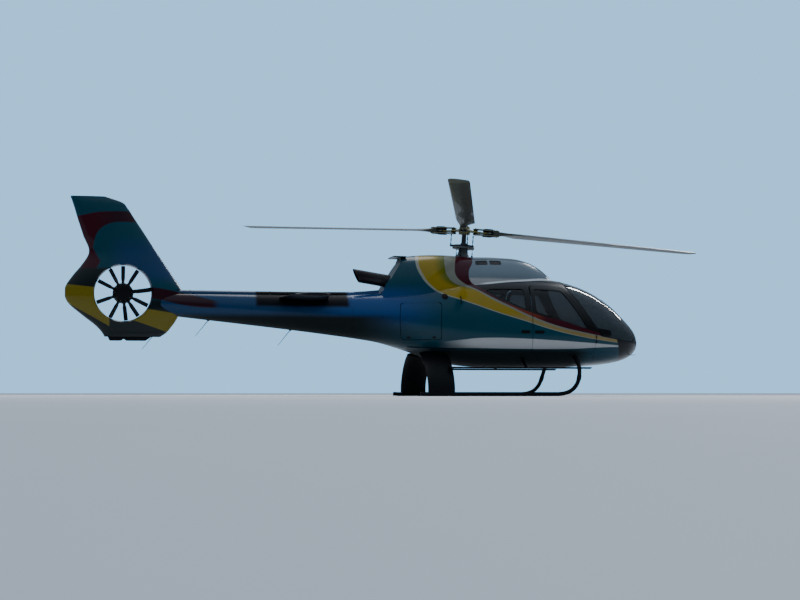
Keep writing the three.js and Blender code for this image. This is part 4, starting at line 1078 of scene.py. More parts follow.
COWL_SPLIT = -330
COWL_REAR = [[-1230, 2900], [-1285, 2500], [-1640, 1940], [-1640, 1500], [-2500, 1500], [-2500, 2900]]
EXHAUST = {"front": [-1307, 0, 2121], "rise": 9, "tip_x": -2090, "slant": 0.46}
EXHAUST_WAY = np.array([-math.cos(EXHAUST["rise"] * DEG), 0, math.sin(EXHAUST["rise"] * DEG)])
MAST = {"hub": 3130, "tilt": 4, "azimuths": (14, 134, 254), "cone": 1.5}
ACTUATORS = (0, 120, 240)


def on_mast(surface, azimuth=0.0):
    """A surface drawn about the mast's line, in metres, turned to an azimuth and put on the leaning mast."""
    return moved(surface, lambda p: turned(turned(p, azimuth * DEG), MAST["tilt"] * DEG, 1)
                 + [0, 0, MAST["hub"] / 1000 - HOOK])


def exhaust_bar(radius, start, end, sides=64):
    a, b = (metres(EXHAUST["front"]) + EXHAUST_WAY * distance / 1000 for distance in (start, end))
    return rod(a, b, radius / 1000, sides, 0.01)


def cowl_solid(inset=0.0, stations=110, count=128):
    return loft(COWL.rings(np.linspace(1.7, -1.7, stations), inset, count))


# Side-view outlines of the cowlings' openings: corners as [x, height]
COWL_SLOTS = [[[90, 2440], [90, 2520], [330, 2540], [330, 2450]],
              [[370, 2452], [370, 2540], [600, 2535], [600, 2455]]]


def cowlings():
    """Shell between the cowling form and the same form taken in, open behind, with screened slots and a rear lip."""
    behind = prism([[x + 25, z] for x, z in COWL_REAR], -900, 900)
    hollow = carved(cowl_solid(0.025, 80, 96), (CUT, behind))
    housing = on_mast(rod((0, 0, -0.9), (0, 0, -0.3), 0.1504, 64, 0.01))
    lip = soft_box(metres([-1430, -260, 2586]), metres([-1180, 260, 2610]), 0.011, 4)
    shell = carved(cowl_solid(), (CUT, prism(COWL_REAR, -900, 900)), (ADD, lip), (CUT, hollow),
                   (CUT, body_solid(-CLEAR)), (CUT, housing), (CUT, exhaust_bar(118.4, -110, 900)))
    screen_form = carved(cowl_solid(0.008), (CUT, cowl_solid(0.014)))
    slots, screens = [], []
    for corners in COWL_SLOTS:
        for side in (1, -1):
            slots.append((CUT, flank_prism(corners, 30, 150, 900, side)))
            screens.append(carved(screen_form, (KEEP, flank_prism(inset(corners, 0.5), 30, 150, 900, side))))
    front = carved(shell, (KEEP, block(COWL_SPLIT + 0.2, 4000, -1500, 1500, 0, 3000)), *slots)
    show("front_cowl_skin", shade(largest(front), COWL.level), SKIN, replaces="front_cowling")
    rear = carved(shell, (KEEP, block(-2500, COWL_SPLIT - 0.2, -900, 900, 0, 3000)))
    show("engine_cowl_skin", shade(largest(rear), COWL.level), SKIN, replaces="engine_cowling")
    for k, screen in enumerate(screens):
        show(f"cowl_screen_{k + 1}", shade(screen, COWL.level), ["grille", "grille", "cut_edge"])


def exhaust():
    """Round pipe on a rising line with a slanted, rolled end."""
    tip_x, slope = EXHAUST["tip_x"], 300 * EXHAUST["slant"]
    tip_z = EXHAUST["front"][2] + (EXHAUST["front"][0] - tip_x) * math.tan(EXHAUST["rise"] * DEG)
    behind = prism([[tip_x - 400, tip_z - 300], [tip_x + slope, tip_z - 300], [tip_x - slope, tip_z + 300],
                    [tip_x - 400, tip_z + 300]], -200, 200)
    pipe = carved(exhaust_bar(118, 0, 900, 96), (CUT, exhaust_bar(112, 60, 930, 96)), (CUT, behind))
    up, turn = np.array([EXHAUST_WAY[2], 0, -EXHAUST_WAY[0]]), turns(96)[:, None]
    ring = np.sin(turn) * up * 0.114 + np.cos(turn) * [0, 0.114, 0]
    slant = np.array([1.0, 0, EXHAUST["slant"]])
    shift = -(ring @ slant) / (EXHAUST_WAY @ slant) - 0.004
    beads = [hoop(metres([tip_x, 0, tip_z]) + ring + shift[:, None] * EXHAUST_WAY, 0.0039, up=EXHAUST_WAY)]
    for along in (0.10, 0.30):
        beads.append(hoop(metres(EXHAUST["front"]) + EXHAUST_WAY * along + ring * 1.03, 0.006, up=EXHAUST_WAY))
    show("exhaust_skin", creased(pipe), "exhaust", replaces="exhaust_pipe")
    show("exhaust_beads", beads, "exhaust")


def deck(x):
    """Top of the fuselage and boom at x."""
    return np.where(np.asarray(x) > BOOM_FRONT / 1000, BODY.rows(x)[1], BOOM.rows(x)[1])


def boom_solid(grow=0.0, stations=110, count=96, front=-2.2004):
    return loft(BOOM.rings(np.linspace(front, -5.7, stations), -grow, count))


COVER = {"front": -1668, "rear": -5420, "half": 88, "height": 48, "sunk": 20}


def cover_rings(x, count=40):
    """Drive-shaft cover ring at x: a superellipse sat on the deck, 48 mm proud of it."""
    above = turns(count) <= math.pi
    across, up = squircle(turns(count), np.where(above, 2.3, 2.0))
    reach = np.where(above, COVER["height"] + COVER["sunk"], 100) / 1000
    return grid(x[:, None], COVER["half"] / 1000 * across, deck(x)[:, None] - COVER["sunk"] / 1000 + reach * up)


def cover_level(points):
    up = points[:, 2] - deck(points[:, 0]) + COVER["sunk"] / 1000
    return np.abs(points[:, 1] / 0.088) ** 2.3 + np.abs(up / np.where(up > 0, 0.068, 0.1)) ** 2.3


def tail_boom():
    """The boom's rings lofted from the fuselage to the shroud, with the drive-shaft cover along its top."""
    show("boom_skin", shade(mesh_of(boom_solid()), BOOM.level), SKIN, replaces="tail_boom")
    x = np.linspace(COVER["front"] / 1000, COVER["rear"] / 1000, 90)
    cover = carved(loft(cover_rings(x)), (CUT, body_solid(-CLEAR)), (CUT, boom_solid(CLEAR, front=-2.15)))
    show("shaft_cover_skin", shade(largest(cover), cover_level), SKIN, replaces="driveshaft_cover")
    bands, screws = [], []
    for x in (-2.24, -2.95, -3.70, -4.45, -5.15):
        line = cover_rings(np.array([x, x - 0.022]))[:, :21].mean(0)
        bands.append(sweep(line + [0, 0, 0.0015], 0.010, 8, 0.22))
        for side in (1, -1):
            screws.append(lathe_at([x - 0.011, side * 0.0885, deck(x)[0] - 0.012], (0, side, 0.15),
                                   [(0.0055, -0.004), (0.0055, 0.002), (0.003, 0.0035)]))
    show("cover_bands", bands, "paint")
    show("cover_screws", screws, "steel")
    seams = [hoop(BOOM.rings([x], -proud)[0], size, 6, up=(1, 0, 0)) for x, proud, size in (
        (-2.215, 0.0012, 0.004), (-3.05, 0.0004, 0.0022), (-4.10, 0.0004, 0.0022), (-5.05, 0.0004, 0.0022))]
    show("boom_seams", seams, "paint")


# Stabiliser half stations: distance from the middle, leading edge, trailing edge, thickness
STABILISER = [[150, -2640, -3560, 116], [1330, -2790, -3420, 84], [1365, -2830, -3390, 46]]
STABILISER_HEIGHT = 1805


def stabilisers():
    """Wing halves: chord * cos t along X and thickness * sin t up, thinner towards the trailing edge and the tip."""
    y = np.concatenate([np.linspace(150, 1320, 30), np.linspace(1326, 1365, 10)])
    station, *sizes = np.array(STABILISER, float).T
    front, rear, thick = (np.interp(y, station, size)[:, None] for size in sizes)
    tip = np.clip((y - 1326) / 39, 0, 1)[:, None]
    thick = np.minimum(thick * np.sqrt(1 - (tip * 0.96) ** 2) / (1 - 0.45 * tip) * 0.98, 116)
    along, up = np.cos(turns(72)), np.sin(turns(72))
    height = thick / 2 * up * (0.35 + 0.65 * np.sqrt(0.5 + 0.5 * along))
    wing = loft(metres(grid((front + rear) / 2 + (front - rear) / 2 * along, y[:, None], STABILISER_HEIGHT + height)))
    pair("stabiliser_skin", largest(carved(wing, (CUT, boom_solid(CLEAR)))), "stabiliser_paint",
         replaces="stabiliser_{}")


DUCT = (-6.370, 1.860 - HOOK)
FIN_SPLIT = 2450
BUMPER = [[-6650, 1110], [-6600, 1000], [-6400, 1000], [-6350, 1035], [-6300, 1000], [-5960, 1000], [-5800, 1110]]


def tail_solid(grow=0.0):
    """The fin and shroud's rings from the bottom to the tip, crowded at both ends so that they stay round."""
    low, high = TAIL_TABLE[0][0] / 1000, TAIL_TABLE[-1][0] / 1000
    return loft(tail_rings(low - HOOK + (high - low) * (1 - np.cos(np.linspace(0, math.pi, 120))) / 2, grow, 112))


def duct_radius(distance):
    """0.51 through the duct, then flared by a power of 1.6."""
    return 0.510 + 0.09 * np.clip((distance - 0.11) / 0.15, 0, 1) ** 1.6


def duct_level(points):
    return duct_radius(np.abs(points[:, 1])) - np.hypot(points[:, 0] - DUCT[0], points[:, 2] - DUCT[1])


def in_duct(surface):
    """A surface drawn about Z, laid on the duct's line with its top towards +Y."""
    return moved(surface, lambda p: np.column_stack([p[:, 0], p[:, 2], -p[:, 1]]) + [DUCT[0], 0, DUCT[1]])


TAIL_SKIN = ["tail_paint", "tail_paint", "cut_edge"]


def tail():
    """Fin and shroud from one form, the duct bored through with flared lips."""
    form = mesh_of(tail_solid())
    nest = block(COVER["rear"] - 0.4, -5000, -88.4, 88.4, 1800, 1885 + 48.4)
    far = np.concatenate([np.linspace(0, 0.11, 3), np.linspace(0.12, 0.26, 16)])
    radius = duct_radius(far)
    bore = lathe([*zip(radius[::-1], -far[::-1]), *zip(radius[1:], far[1:])], 128)
    shroud = carved(form, (KEEP, block(-8000, -5000, -400, 400, 0, FIN_SPLIT - 0.2)), (CUT, in_duct(bore)),
                    (CUT, boom_solid(CLEAR)), (CUT, nest))
    show("shroud_skin", shade(largest(shroud), tail_level, duct_level), TAIL_SKIN,
         replaces="tail_shroud")
    fin = carved(form, (KEEP, block(-8000, -5000, -400, 400, FIN_SPLIT + 0.2, 4000)))
    show("fin_skin", shade(fin, tail_level), TAIL_SKIN, replaces="vertical_fin")
    bumper = carved(prism(BUMPER, -45, 45, 14), (CUT, tail_solid(CLEAR)))
    show("bumper_skid", creased(largest(bumper)), "black_alloy", replaces="tail_bumper")


def bolt_circle(profile, count, radius, height):
    """Six-sided heads at even turns about the duct's line."""
    return [in_duct(moved(lathe(profile, 6), lambda p: p + [radius * math.cos(t), radius * math.sin(t), height]))
            for t in turns(count)]


def fan_spoke(surface, degrees, middle):
    """A surface drawn along X, turned up about the duct's line and moved along it."""
    return moved(surface, lambda p: turned(p, -degrees * DEG, 1) + [DUCT[0], middle, DUCT[1]])


# Ten blades at uneven turns, degrees above straight ahead as seen from the right
TAIL_BLADES = (8, 58, 90, 118, 153, 200, 243, 277, 304, 334)
TAIL_STRUTS = (118, 243)


def airfoil(along):
    """Half thickness over chord, largest 1, where along runs from 1 at the leading edge to -1 behind."""
    c = np.clip((1 - along) / 2, 0, 1)
    return (0.2969 * np.sqrt(c) - 0.126 * c - 0.3516 * c ** 2 + 0.2843 * c ** 3 - 0.1036 * c ** 4) / 0.1


def tail_fan():
    """Blades carried out along their turn, chord and pitch set by rows, on a domed hub; struts and gearbox behind."""
    r = np.concatenate([np.linspace(0.150, 0.250, 10), np.linspace(0.262, 0.490, 22), [0.4945, 0.4965]])[:, None]
    stations = [0.15, 0.20, 0.26, 0.49, 0.4945, 0.4965]
    chord = np.interp(r, stations, [0.044, 0.050, 0.079, 0.079, 0.074, 0.050])
    thick = np.interp(r, stations, [0.040, 0.032, 0.013, 0.010, 0.008, 0.004])
    blunt = np.interp(r, [0.15, 0.19, 0.27, 0.5], [1, 0.85, 0, 0])
    pitch = np.interp(r, [0.15, 0.26, 0.4965], [30, 29, 20]) * DEG
    along, up = np.cos(turns(40)), np.sin(turns(40))
    up = np.sign(up) * (blunt * np.abs(up) + (1 - blunt) * airfoil(along))
    a, b = chord / 2 * along, thick / 2 * up
    blade = loft(grid(r, b * np.cos(pitch) - a * np.sin(pitch), a * np.cos(pitch) + b * np.sin(pitch)))
    root = moved(lathe([(0.030, 0), (0.030, 0.035), (0.024, 0.045)], 20), lambda p: p[:, ::-1] + [0.158, 0, 0])
    show("tail_fan_blades", [fan_spoke(part, degrees, 0.055) for degrees in TAIL_BLADES for part in (blade, root)],
         "fan_alloy", "tail_rotor")
    dome = lathe([(0.1835, 0.016), (0.185, 0.020), (0.185, 0.064), (0.181, 0.072), (0.165, 0.079), (0.12, 0.086),
                  (0.07, 0.0925), (0.02, 0.0955)], 72)
    hub = carved(in_duct(dome), (CUT, in_duct(rod((0, 0, 0), (0, 0, 0.0704), 0.0327, 48, 0.001))))
    show("tail_fan_hub", creased(hub), "fan_alloy", "tail_rotor", "tail_fan")
    show("tail_fan_bolts", bolt_circle([(0.008, 0), (0.008, 0.004), (0.006, 0.006)], 12, 0.148, 0.0795), "steel",
         "tail_rotor")

    case = lathe([(0.015, -0.150), (0.08, -0.147), (0.12, -0.138), (0.150, -0.118), (0.166, -0.098),
                  (0.172, -0.080), (0.172, -0.012), (0.168, -0.004), (0.150, 0.003), (0.10, 0.006), (0.032, 0.006),
                  (0.032, 0.0695), (0.028, 0.070)], 72)
    parts = [in_duct(case)]
    far = np.linspace(0, 1, 12)
    shaft_case = sweep(np.linspace([0.1, 0, 0], [0.508, 0, 0], 12),
                       np.interp(far, [0, 0.3, 0.9, 1], [0.042, 0.034, 0.034, 0.041]), 24)
    parts.append(fan_spoke(shaft_case, TAIL_BLADES[0], -0.075))
    far = np.linspace(0, 1, 14)
    strut = sweep(np.linspace([0.12, 0, 0], [0.5085, 0, 0], 14),
                  np.interp(far, [0, 0.15, 0.85, 1], [0.038, 0.031, 0.031, 0.038]), 28, 0.34)
    parts += [fan_spoke(strut, degrees, -0.075) for degrees in TAIL_STRUTS]
    show("tail_gearbox", parts, "black_alloy", replaces="tail_fan_stator")
    show("tail_gearbox_bolts", bolt_circle([(0.007, 0.01), (0.007, -0.004), (0.005, -0.006)], 10, 0.146, -0.122),
         "steel")


# ---------------------------------------------------------------- main rotor

# Blade stations: radius, chord, thickness, pitch in degrees, squareness
BLADE = [
    [600, 130, 90, 0, 4.0], [760, 150, 84, 3, 3.0], [960, 250, 58, 6, 2.2], [1200, 350, 44, 8, 2.0],
    [2600, 350, 42, 5.5, 2.0], [4000, 350, 42, 3, 2.0], [5200, 350, 40, 0.8, 2.0], [5320, 325, 32, 0.6, 2.0],
    [5345, 250, 14, 0.5, 2.0],
]


def plate(outline, low, high, bevel=0.002):
    """A flat plate with its edges bevelled: the outline moved along its own normals at both faces."""
    outline = np.asarray(outline, float)
    ahead = np.roll(outline, -1, 0) - np.roll(outline, 1, 0)
    out = np.column_stack([ahead[:, 1], -ahead[:, 0]]) / np.linalg.norm(ahead, axis=1, keepdims=True)
    area = np.sum(outline[:, 0] * np.roll(outline[:, 1], -1) - np.roll(outline[:, 0], -1) * outline[:, 1])
    out *= np.sign(area)
    rings = [np.column_stack([outline + out * shift, np.full(len(outline), h)])
             for shift, h in ((-bevel, low), (0, low + bevel), (0, high - bevel), (-bevel, high))]
    return loft(np.stack(rings))


def with_uv(mesh, name, values):
    """The mesh with a UV map taken from a value for each point."""
    layer = mesh.uv_layers.new(name=name)
    corner = read(mesh.loops, "vertex_index", 1, np.int32)
    layer.uv.foreach_set("vector", np.asarray(values, np.float32)[corner].ravel())
    return mesh


def blade_surface():
    """Main blade: at radius r a section of half thickness airfoil(along), squared off near the root, with its pitch
    and chord from the table; along is cos t."""
    r = np.concatenate([np.linspace(600, 742, 8), np.linspace(758, 1300, 26), np.linspace(1400, 5200, 40),
                        np.linspace(5222, 5338, 12), [5342, 5344.5]])
    radius, *sizes = np.array(BLADE, float).T
    eased = through(BLADE[:4], np.clip(r, 600, 1200))[:, 1:].T
    plain = [np.interp(r, radius, size) for size in sizes]
    chord, thick, pitch, square = np.where(r < 1200, eased, plain)[:, :, None]
    r, pitch = r[:, None], pitch * DEG
    along, blunt = squircle(turns(56), square)
    below = np.sin(turns(56)) < 0
    foil = np.sign(np.sin(turns(56))) * airfoil(along) * np.where(below, 0.8, 1.0)
    share = np.clip((square - 2) / 1.2, 0, 1)
    forward = chord / 2 * along - (chord - 130) * 0.25
    height = thick / 2 * (share * blunt + (1 - share) * foil) * 0.98
    height = np.where(r < 750, np.clip(height, -39.4, 39.4), height)
    ring = grid(r, height * np.sin(pitch) - forward * np.cos(pitch), forward * np.sin(pitch) + height * np.cos(pitch))
    uv = np.stack(np.broadcast_arrays((1 + along) / 2, r / 5345), -1).reshape(-1, 2)
    return loft(ring / 1000), np.vstack([uv, uv[:56].mean(0), uv[-56:].mean(0)])


def on_blades(surfaces):
    """Surfaces drawn along X for one blade, coned up and put on each of the blades."""
    return [on_mast(coned(surface), azimuth) for azimuth in MAST["azimuths"] for surface in surfaces]


def round_mast(surface, azimuths):
    return [on_mast(surface, azimuth) for azimuth in azimuths]


def coned(surface):
    return moved(surface, lambda p: turned(p, -MAST["cone"] * DEG, 1))


def main_rotor():
    """Blades, star, sleeves with laminated bearings and dampers, and mast, all drawn about the mast's line."""
    surface, uv = blade_surface()
    for k, blade in enumerate(on_blades([surface])):
        show(f"main_blade_{k + 1}", with_uv(mesh_of(blade), "chord and span", uv), "rotor_composite",
             "main_rotor", f"rotor_blade_{k + 1}")

    arm = np.array([(0.165, -0.095, 0), (0.30, -0.062, 0), (0.560, -0.052, 0), (0.560, 0.052, 0), (0.30, 0.062, 0),
                    (0.165, 0.095, 0)])
    corners = np.vstack([turned(arm, azimuth * DEG)[:, :2] for azimuth in MAST["azimuths"]])
    boss = lathe([(0.0458, -0.070), (0.104, -0.070), (0.108, -0.066), (0.106, -0.020), (0.112, -0.014),
                  (0.112, 0.014), (0.106, 0.020), (0.101, 0.060), (0.095, 0.080), (0.088, 0.085), (0.0458, 0.085)], 56)
    hub = carved(on_mast(plate(rounded_outline(corners, 0.045, 6), -0.012, 0.012, 0.004)), (ADD, on_mast(boss)),
                 (CUT, on_mast(rod((0, 0, -0.2), (0, 0, 0.0602), 0.0454, 48, 0.001))))
    show("hub_star", creased(hub, 30), "hub_composite", "main_rotor", "rotor_hub")

    outline = rounded_outline([(0.205, -0.058), (0.28, -0.070), (0.42, -0.064), (0.60, -0.070), (0.74, -0.062),
                               (0.74, 0.062), (0.60, 0.070), (0.42, 0.064), (0.28, 0.070), (0.205, 0.058)], 0.03, 6)
    sleeves = [plate(outline, low, low + 0.020, 0.003) for low in (0.040, -0.060)]
    sleeves.append(soft_box((0.255, -0.095, -0.058), (0.300, -0.068, -0.032), 0.005, 2))
    rubbers, bolts = [], []
    for way in (1, -1):
        disc = [(0.0455 if k % 2 else 0.0425, way * (0.0125 + k * 0.0025)) for k in range(12)]
        rubbers.append(moved(lathe(disc, 36), lambda p: p + [0.240, 0, 0]))
        layers = np.linspace(0.0125, 0.0399, 6)
        for k, (a, b) in enumerate(zip(layers, layers[1:])):
            a, b, grow = *sorted((way * a, way * b)), 0.004 * (k % 2 == 0)
            rubbers.append(soft_box((0.438 - grow, -0.058 - grow, a), (0.578 + grow, 0.058 + grow, b), 0.0015, 1))
        a, b = sorted((way * 0.0602, way * 0.076))
        rubbers.append(soft_box((0.425, -0.066, a), (0.592, 0.066, b), 0.005, 2))
        for x, y, size in ((0.24, 0, 0.016), (0.455, 0.036, 0.010), (0.455, -0.036, 0.010), (0.56, 0.036, 0.010),
                           (0.56, -0.036, 0.010), (0.640, 0, 0.019), (0.700, 0, 0.019)):
            head = [(size * 1.35, 0.0595 * way), (size * 1.35, 0.062 * way), (size, 0.0622 * way),
                    (size, 0.070 * way), (size * 0.8, 0.072 * way)]
            bolts.append(moved(lathe(head, 6 if size < 0.015 else 8), lambda p: p + [x, y, 0]))
    show("hub_sleeves", on_blades(sleeves), "sleeve_composite", "main_rotor")
    show("hub_bearings", on_blades(rubbers), "rubber", "main_rotor")
    show("hub_bolts", on_blades(bolts), "steel", "main_rotor")
    mast = [(0.0448, -0.6596), (0.0448, -0.268), (0.058, -0.262), (0.059, -0.2585), (0.059, -0.2435),
            (0.058, -0.240), (0.0448, -0.236), (0.0448, -0.110), (0.0420, -0.105), (0.0420, -0.085), (0.0448, -0.080),
            (0.0448, 0.0592)]
    show("mast_tube", on_mast(lathe(mast, 48)), "dark_steel", "main_rotor", "rotor_mast")


def rotor_controls():
    """Swashplates, pitch links, scissors, the mast's housing and the actuators, drawn about the mast's line."""
    lug = rounded_outline([(0.15, -0.026), (0.255, -0.016), (0.272, 0), (0.255, 0.016), (0.15, 0.026)], 0.012, 4)
    link = lathe([(0.002, -0.2680), (0.011, -0.2675), (0.013, -0.258), (0.013, -0.245), (0.0075, -0.236),
                  (0.0075, -0.205), (0.011, -0.200), (0.011, -0.150), (0.0075, -0.145), (0.0075, -0.105),
                  (0.013, -0.096), (0.0135, -0.080), (0.010, -0.066), (0.002, -0.0635)], 18)
    beside = [azimuth + 18 for azimuth in MAST["azimuths"]]
    turning = lathe([(0.0458, -0.300), (0.075, -0.306), (0.190, -0.306), (0.2045, -0.303), (0.205, -0.286),
                     (0.198, -0.2795), (0.120, -0.276), (0.075, -0.2685), (0.0458, -0.268)], 64)
    show("turning_swashplate", [on_mast(turning), *round_mast(plate(lug, -0.306, -0.2685, 0.003), beside)],
         "dark_steel", "main_rotor", "swashplate_turning")
    show("pitch_links", round_mast(moved(link, lambda p: p + [0.250, 0, 0]), beside), "dark_steel",
         "main_rotor")
    show("rotor_scissors", [bar for line in (((0.052, 0, -0.250), (0.10, 0, -0.243), (0.152, 0, -0.236)),
                                             ((0.152, 0, -0.236), (0.158, 0, -0.250), (0.160, 0, -0.272)))
                            for bar in round_mast(sweep(line, 0.011, 12, 0.8), (74, 254))],
         "dark_steel", "main_rotor")

    fixed = lathe([(0.0625, -0.345), (0.085, -0.350), (0.196, -0.350), (0.2098, -0.346), (0.210, -0.316),
                   (0.2075, -0.3122), (0.120, -0.312), (0.0625, -0.314)], 64)
    lugs = round_mast(soft_box((0.150, -0.018, -0.3496), (0.2096, 0.018, -0.318), 0.006, 2), ACTUATORS)
    show("fixed_swashplate", [on_mast(fixed), *lugs], "casting", replaces="swashplate_fixed")
    housing = lathe([(0.056, -0.720), (0.149, -0.720), (0.150, -0.716), (0.150, -0.584), (0.146, -0.562),
                     (0.132, -0.530), (0.108, -0.460), (0.092, -0.412), (0.088, -0.400), (0.088, -0.3506),
                     (0.056, -0.3506)], 64)
    fin = sweep([(0.134, 0, -0.570), (0.120, 0, -0.520), (0.104, 0, -0.470), (0.090, 0, -0.415)], 0.009, 10, 0.6)
    show("mast_cone", [on_mast(housing), *round_mast(fin, 22.5 + 45 * np.arange(8))], "casting",
         replaces="mast_housing")
    piston = sweep([(0.180, 0, -0.352), (0.180, 0, -0.420), (0.178, 0, -0.470)], 0.009, 12)
    barrel = sweep(np.linspace((0.178, 0, -0.465), (0.172, 0, -0.620), 5), 0.019, 18)
    show("control_actuators", round_mast(piston, ACTUATORS) + round_mast(barrel, ACTUATORS), "dark_steel")


# ---------------------------------------------------------------- landing gear

SKID_LINE = [
    [-1130, 1200, 44], [-1040, 1200, 38], [1460, 1200, 38], [1600, 1198, 58], [1715, 1194, 108], [1800, 1188, 190],
    [1855, 1174, 295], [1885, 1144, 410], [1902, 1082, 520], [1912, 980, 612], [1918, 850, 684], [1920, 700, 745],
]
# Rear leg stations: distance from the middle, height, chord, thickness
LEG = [
    [1196, 40, 500, 66], [1192, 170, 500, 66], [1140, 310, 500, 72], [1030, 450, 510, 78], [880, 585, 520, 84],
    [700, 700, 530, 90], [520, 790, 530, 90],
]
LEG_X = -735


def leg_solid(grow=0.0, steps=40, count=64):
    """Faired leg: superellipse rings of a table's chord and thickness, square to the bent line of the leg."""
    table = np.array(LEG, float)
    run = np.concatenate([[0], np.cumsum(np.hypot(*np.diff(table[:, :2], axis=0).T))])
    y, z, chord, thick = through(np.column_stack([run, table]), np.linspace(0, run[-1], steps)).T[1:, :, None]
    way = unit(np.gradient(np.hstack([y, z]), axis=0))
    along, across = squircle(turns(count), 2.3)
    off = (thick / 2 + grow) * across
    return loft(metres(grid(LEG_X + (chord / 2 + grow) * along, y - way[:, 1:] * off, z + way[:, :1] * off)))


def skid_bar(radius, steps=10):
    line = smooth_path(metres(SKID_LINE), steps)
    line[:, 2] = np.maximum(line[:, 2], 0.038 - HOOK)
    return sweep(line, radius, 28)


def landing_gear():
    """Bent tubes, faired legs and ribbed steps, each cut clear of what carries it."""
    fuselage_cut, tube_cut = (CUT, body_solid(-CLEAR)), (CUT, skid_bar(0.0404))
    board = prism([[-560, 533], [-560, 503], [2110, 503], [2140, 533]], 1030, 1135)
    tab = soft_box(metres([-560, 880, 504]), metres([-430, 1040, 534]), 0.004, 2)
    strut = moved(soft_box((0.860, -0.025, -0.012), (0.920, 0.420, 0.012), 0.006, 2),
                  lambda p: turned(p, -32 * DEG, 0) + [0, 0.790, 0.690 - HOOK])
    brace = carved(strut, (KEEP, block(0, 2000, 0, 1115, 507, 1000)))
    for name, mesh, node in (
            ("skid_tube", carved(skid_bar(0.0378), fuselage_cut), "skid_{}"),
            ("leg_fairing", carved(leg_solid(), fuselage_cut, tube_cut), "rear_leg_{}"),
            ("step_board", carved(board, (ADD, tab), (ADD, brace), tube_cut, (CUT, leg_solid(0.4)), fuselage_cut),
             "step_{}")):
        pair(name, largest(mesh), "black_alloy", replaces=node)
    ribs = [soft_box(metres([x, 1036, 531]), metres([x + 7, 1129, 534.8]), 0.001, 1) for x in range(-540, 2105, 28)]
    line = smooth_path(metres(SKID_LINE), 40)
    for place in ([1868, 1163, 345], [1915, 945, 632]):
        near = np.argmin(np.linalg.norm(line - metres(place), axis=1))
        ribs.append(sweep(line[near - 5:near + 6], 0.0425, 28))
    pair("step_ribs", ribs, "rubber")
    hook = [soft_box((-0.090, -0.070, 0), (0.090, 0.070, 0.0215), 0.004, 2)]
    hook += [lathe_at([x, y, 0.0002], (0, 0, 1), [(0.009, 0), (0.009, 0.005), (0.004, 0.007)], 6)
             for x in (-0.07, 0.07) for y in (-0.05, 0.05)]
    show("hook_mount", hook, "steel", replaces="hook_plate")


# ---------------------------------------------------------------- cabin

FLOOR_TOP = 715
SEAT_ROWS = {"front": (1290, (-600, 0, 600), 245), "rear": (120, (-705, -235, 235, 705), 215)}
SEAT = {"depth": 460, "base": 150, "cushion": 120, "lean": 14}


def pillow(size, crown, steps=26, square=5.0):
    """A cushion's start shape: a superellipse outline, its thickness less by the crown times level ** 2 and drawn
    in by (1 - level ** 6) ** 0.5, where level is 1 on the outline and 0 in the middle."""
    a, b = squircle(turns(steps * 4), square)
    level = np.sin(np.linspace(0.04, math.pi / 2, steps))[:, None]
    rise = np.maximum(1 - level ** 6, 0) ** 0.5
    half = size[2] / 2 * (1 - crown) + size[2] / 2 * crown * np.maximum(1 - level ** 2, 0)
    over = grid(level * a * size[0] / 2, level * b * size[1] / 2, half * rise)
    return loft(np.vstack([over, over[::-1][1:] * [1, 1, -1]]))


def cushion(name, points, faces):
    """Shows a swollen pad as a piece in upholstery."""
    mesh = bpy.data.meshes.new("cloth")
    mesh.from_pydata(points, [], faces)
    mesh.shade_smooth()
    show(name, mesh, "upholstery")


def stuffed(surface, voxel, pressure, cap):
    """The surface remeshed and swollen by cloth pressure, no point moved further than the cap, as points and faces."""
    scene = bpy.context.scene
    obj = bpy.data.objects.new("stuffing", mesh_of(surface))
    scene.collection.objects.link(obj)
    remesh = obj.modifiers.new("even faces", "REMESH")
    remesh.mode = "VOXEL"
    remesh.voxel_size = voxel
    even = bpy.data.meshes.new_from_object(obj.evaluated_get(bpy.context.evaluated_depsgraph_get()))
    obj.modifiers.clear()
    obj.data = even
    start = coordinates(even)
    found = start
    cloth = obj.modifiers.new("stuffing", "CLOTH")
    cloth.settings.use_pressure = True
    cloth.settings.uniform_pressure_force = pressure
    cloth.settings.effector_weights.gravity = 0
    cloth.settings.quality = 5
    cloth.collision_settings.use_collision = False
    for step in range(1, 21):
        scene.frame_set(step)
    done = bpy.data.meshes.new_from_object(obj.evaluated_get(bpy.context.evaluated_depsgraph_get()))
    shift = coordinates(done) - start
    far = np.linalg.norm(shift, axis=1, keepdims=True)
    found = start + shift * np.minimum(1, cap / np.maximum(far, 1e-9))
    scene.frame_set(1)
    faces = [list(p.vertices) for p in even.polygons]
    bpy.data.objects.remove(obj)
    return found, faces


def seams(points, lines, depth, width):
    """Sewn channels: points near a line on the seat's face move in by depth * exp(-(distance / width) ** 2)."""
    out = points.copy()
    for axis, place in lines:
        near = np.exp(-((points[:, axis] - place) / width) ** 2)
        out[:, 2] -= np.sign(points[:, 2]) * np.minimum(depth * near, np.abs(points[:, 2]) * 0.5)
    return out


